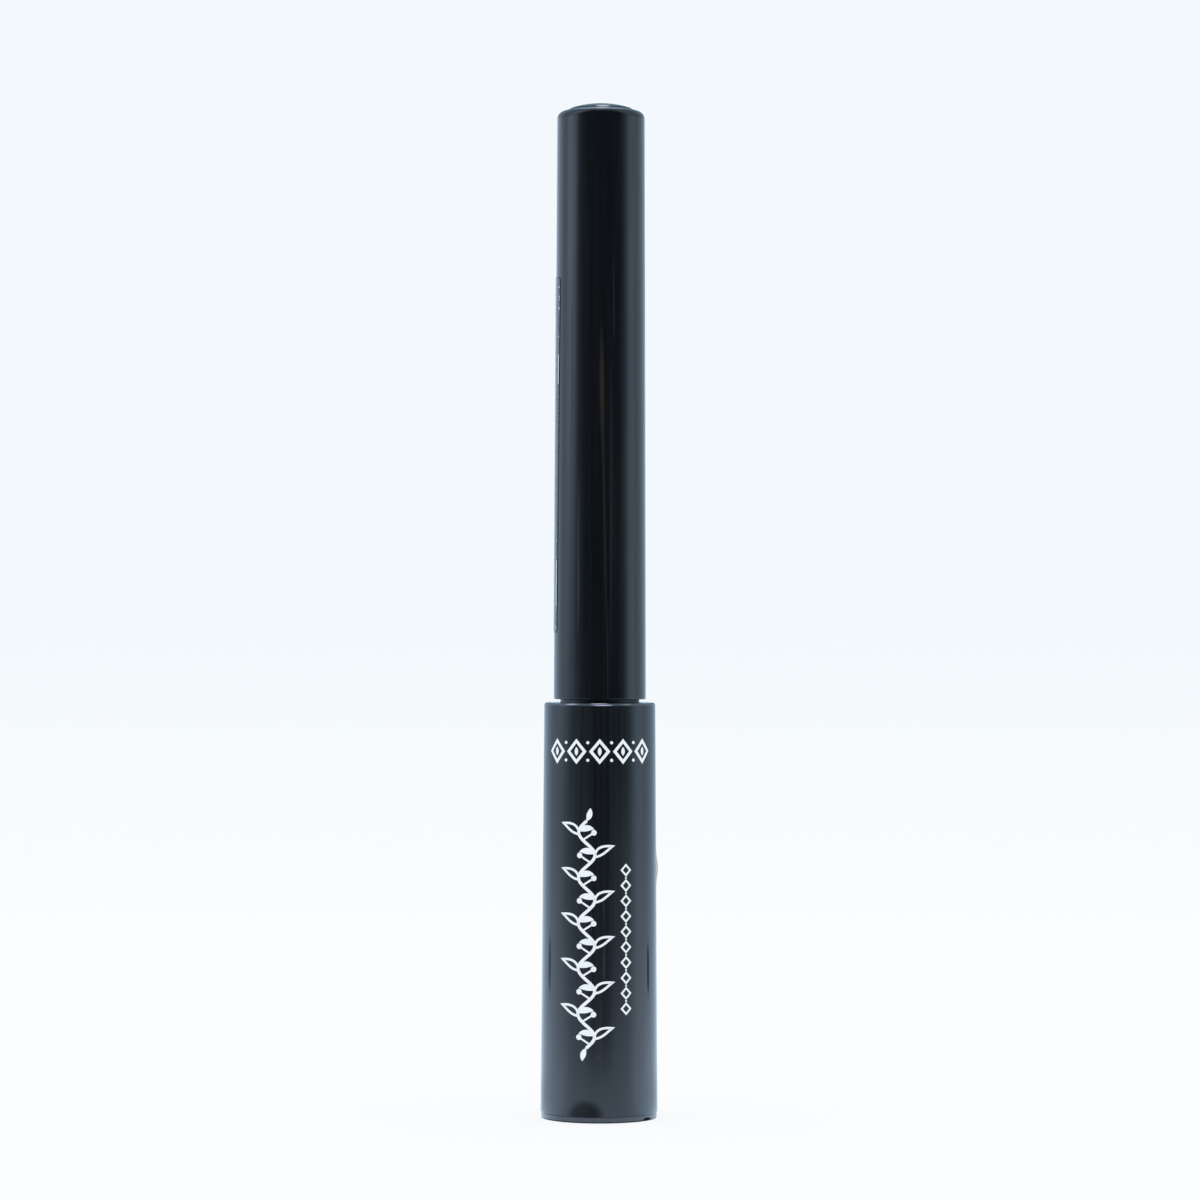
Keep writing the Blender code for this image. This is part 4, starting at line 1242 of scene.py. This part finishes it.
def makeFloor(sizes, look):
    made = bpy.data.materials.new("paleFloor")
    made.use_nodes = True
    tree = made.node_tree
    tree.nodes.clear()
    place = addNode(tree, "ShaderNodeTexCoord").outputs["Object"]
    distance = vectorCalc("LENGTH", place)
    share = addCurve(calc("DIVIDE", distance, look.reach), look.fade)
    aside = calc("ABSOLUTE", aroundZ(split(place)))
    gloss = addCurve(calc("DIVIDE", aside, math.pi), look.gloss, look.glossTop)
    for zone in look.zones:
        beside = smoothStep(calc("DEGREES", aside), *zone.angles)
        inside = times(beside, smoothStep(distance, *zone.distances))
        gloss = times(gloss, scaled(inside, -zone.loss, 1.0))
    mirrored = addNode(tree, "ShaderNodeLightPath").outputs["Is Glossy Ray"]
    strength = scaled(mirrored, calc("SUBTRACT", gloss, 1.0), 1.0)
    shade = mixColours(mirrored, look.colour, look.mirrored)
    diffuse = addNode(tree, "ShaderNodeBsdfDiffuse", {"Color": look.colour}).outputs[0]
    glow = addNode(tree, "ShaderNodeEmission", {"Color": shade, "Strength": strength}).outputs[0]
    clear = addNode(tree, "ShaderNodeBsdfTransparent").outputs[0]
    # the floor hides nothing from below
    fromBelow = addNode(tree, "ShaderNodeNewGeometry").outputs["Backfacing"]
    share = times(share, calc("SUBTRACT", 1.0, fromBelow))
    surface = mixShaders(share, clear, mixShaders(look.glow, diffuse, glow))
    addNode(tree, "ShaderNodeOutputMaterial", {"Surface": surface})
    shape = bmesh.new()
    bmesh.ops.create_circle(shape, cap_ends=True, radius=sizes.radius, segments=sizes.sides)
    mesh = bpy.data.meshes.new("paleFloor")
    shape.to_mesh(mesh)
    shape.free()
    mesh.materials.append(made)
    floor = bpy.data.objects.new("paleFloor", mesh)
    floor.location.z = -sizes.drop
    scene.collection.objects.link(floor)


studio = Sizes(
    # brightness round the object at its own height, by angle from the camera's side, left negative
    around=[
        (-180, 0.95), (-128, 1.1), (-112, 1.0), (-99, 1.15), (-88, 1.0), (-77, 0.69), (-68, 0.5), (-58, 0.3),
        (-50, 0.17), (-41, 0.08), (-30, 0.03), (0, 0.015), (30, 0.02), (47, 0.05), (56, 0.13), (65, 0.41),
        (75, 0.9), (85, 1.29), (96, 1.16), (108, 0.9), (123, 0.9), (143, 0.9), (180, 0.95),
    ],
    window=Sizes(angle=-80, halfWidth=16, low=-1, high=5, strength=1.1),
    ceiling=Sizes(low=62, high=80, strength=0.6),
    lamp=Sizes(direction=(0.0, 0.72, 0.69), inner=7, outer=14, strength=1.6),
    lower=Sizes(low=-2.5, high=-5.5, gain=0.35),
    upper=Sizes(
        low=7, high=11, back=(150, 168), strength=0.45, sideStrength=0.7, teal=(24, 32),
        tealTint=(0.5, 0.98, 1.18, 1),
    ),
    tint=(0.954, 1.0, 1.036, 1), mirrored=(0.77, 1.0, 1.27, 1),
    # what the camera sees, by elevation in degrees
    backdrop=[
        (-5.0, (0.974, 0.984, 1.0, 1)), (-2.45, (0.930, 0.965, 0.991, 1)), (0.0, (0.896, 0.939, 0.974, 1)),
    ],
)


def makeStudio(look):
    world = bpy.data.worlds.new("studio")
    scene.world = world
    world.use_nodes = True
    world.cycles.sampling_method = "NONE"
    tree = world.node_tree
    tree.nodes.clear()

    def lit(colour, strength):
        return addNode(tree, "ShaderNodeBackground", {"Color": colour, "Strength": strength}).outputs[0]

    way = addNode(tree, "ShaderNodeTexCoord").outputs["Generated"]
    parts = split(way)
    degrees = calc("DEGREES", aroundZ(parts))
    elevation = calc("DEGREES", calc("ARCSINE", parts["Z"]))
    points = [(0.5 + a / 360, b) for a, b in look.around]
    around = addCurve(scaled(degrees, 1 / 360, 0.5), points, 2.0)
    window, lower, upper = look.window, look.lower, look.upper
    off = calc("ABSOLUTE", calc("SUBTRACT", degrees, window.angle))
    across = smoothStep(off, 0.4 * window.halfWidth, 1.4 * window.halfWidth, window.strength, 0.0)
    shine = times(across, smoothStep(elevation, window.low, window.high))
    downwards = times(elevation, -1.0)
    sunk = smoothStep(downwards, -lower.low, -lower.high, 1.0, 1.0 + lower.gain)
    behind = smoothStep(calc("ABSOLUTE", degrees), *upper.back)
    above = smoothStep(elevation, upper.low, upper.high)
    loss = scaled(behind, upper.strength - upper.sideStrength, upper.sideStrength - 1.0)
    sides = times(calc("ADD", around, shine), sunk, scaled(above, loss, 1.0))
    up = smoothStep(elevation, look.ceiling.low, look.ceiling.high)
    strength = calc("ADD", times(sides, calc("SUBTRACT", 1.0, up)), times(up, look.ceiling.strength))
    aim = Vector(look.lamp.direction).normalized()
    outer, inner = (math.cos(math.radians(angle)) for angle in (look.lamp.outer, look.lamp.inner))
    facing = vectorCalc("DOT_PRODUCT", way, tuple(aim))
    strength = calc("ADD", strength, smoothStep(facing, outer, inner, 0.0, look.lamp.strength))
    teal = times(above, behind, smoothStep(elevation, *upper.teal, 1.0, 0.0))
    reflected = lit(mixColours(teal, look.mirrored, upper.tealTint), strength)
    even = lit(look.tint, 1.0)
    (low, lowColour), (mid, midColour), (high, highColour) = look.backdrop
    seen = mixColours(smoothStep(elevation, low, mid), lowColour, midColour)
    backdrop = lit(mixColours(smoothStep(elevation, mid, high), seen, highColour), 1.0)
    path = addNode(tree, "ShaderNodeLightPath").outputs
    direct = calc("MAXIMUM", path["Is Camera Ray"], path["Is Transmission Ray"])
    shown = mixShaders(direct, mixShaders(path["Is Glossy Ray"], even, reflected), backdrop)
    addNode(tree, "ShaderNodeOutputWorld", {"Surface": shown})


cameraSetup = Sizes(
    height=0.06506, distance=0.567, lens=132, sensor=36, pitch=0.156, roll=-0.1175, clipStart=0.01,
)


def makeCamera(setup):
    data = bpy.data.cameras.new("camera")
    data.lens = setup.lens
    data.sensor_width = setup.sensor
    data.clip_start = setup.clipStart
    camera = bpy.data.objects.new("camera", data)
    camera.location = (0, -setup.distance, setup.height)
    camera.rotation_euler = (quarterTurn + math.radians(setup.pitch), math.radians(setup.roll), 0)
    scene.collection.objects.link(camera)
    scene.camera = camera


makeFloor(floorSizes, floorLook)
makeStudio(studio)
makeCamera(cameraSetup)
scene.view_settings.view_transform = "Standard"
print("studio ready")
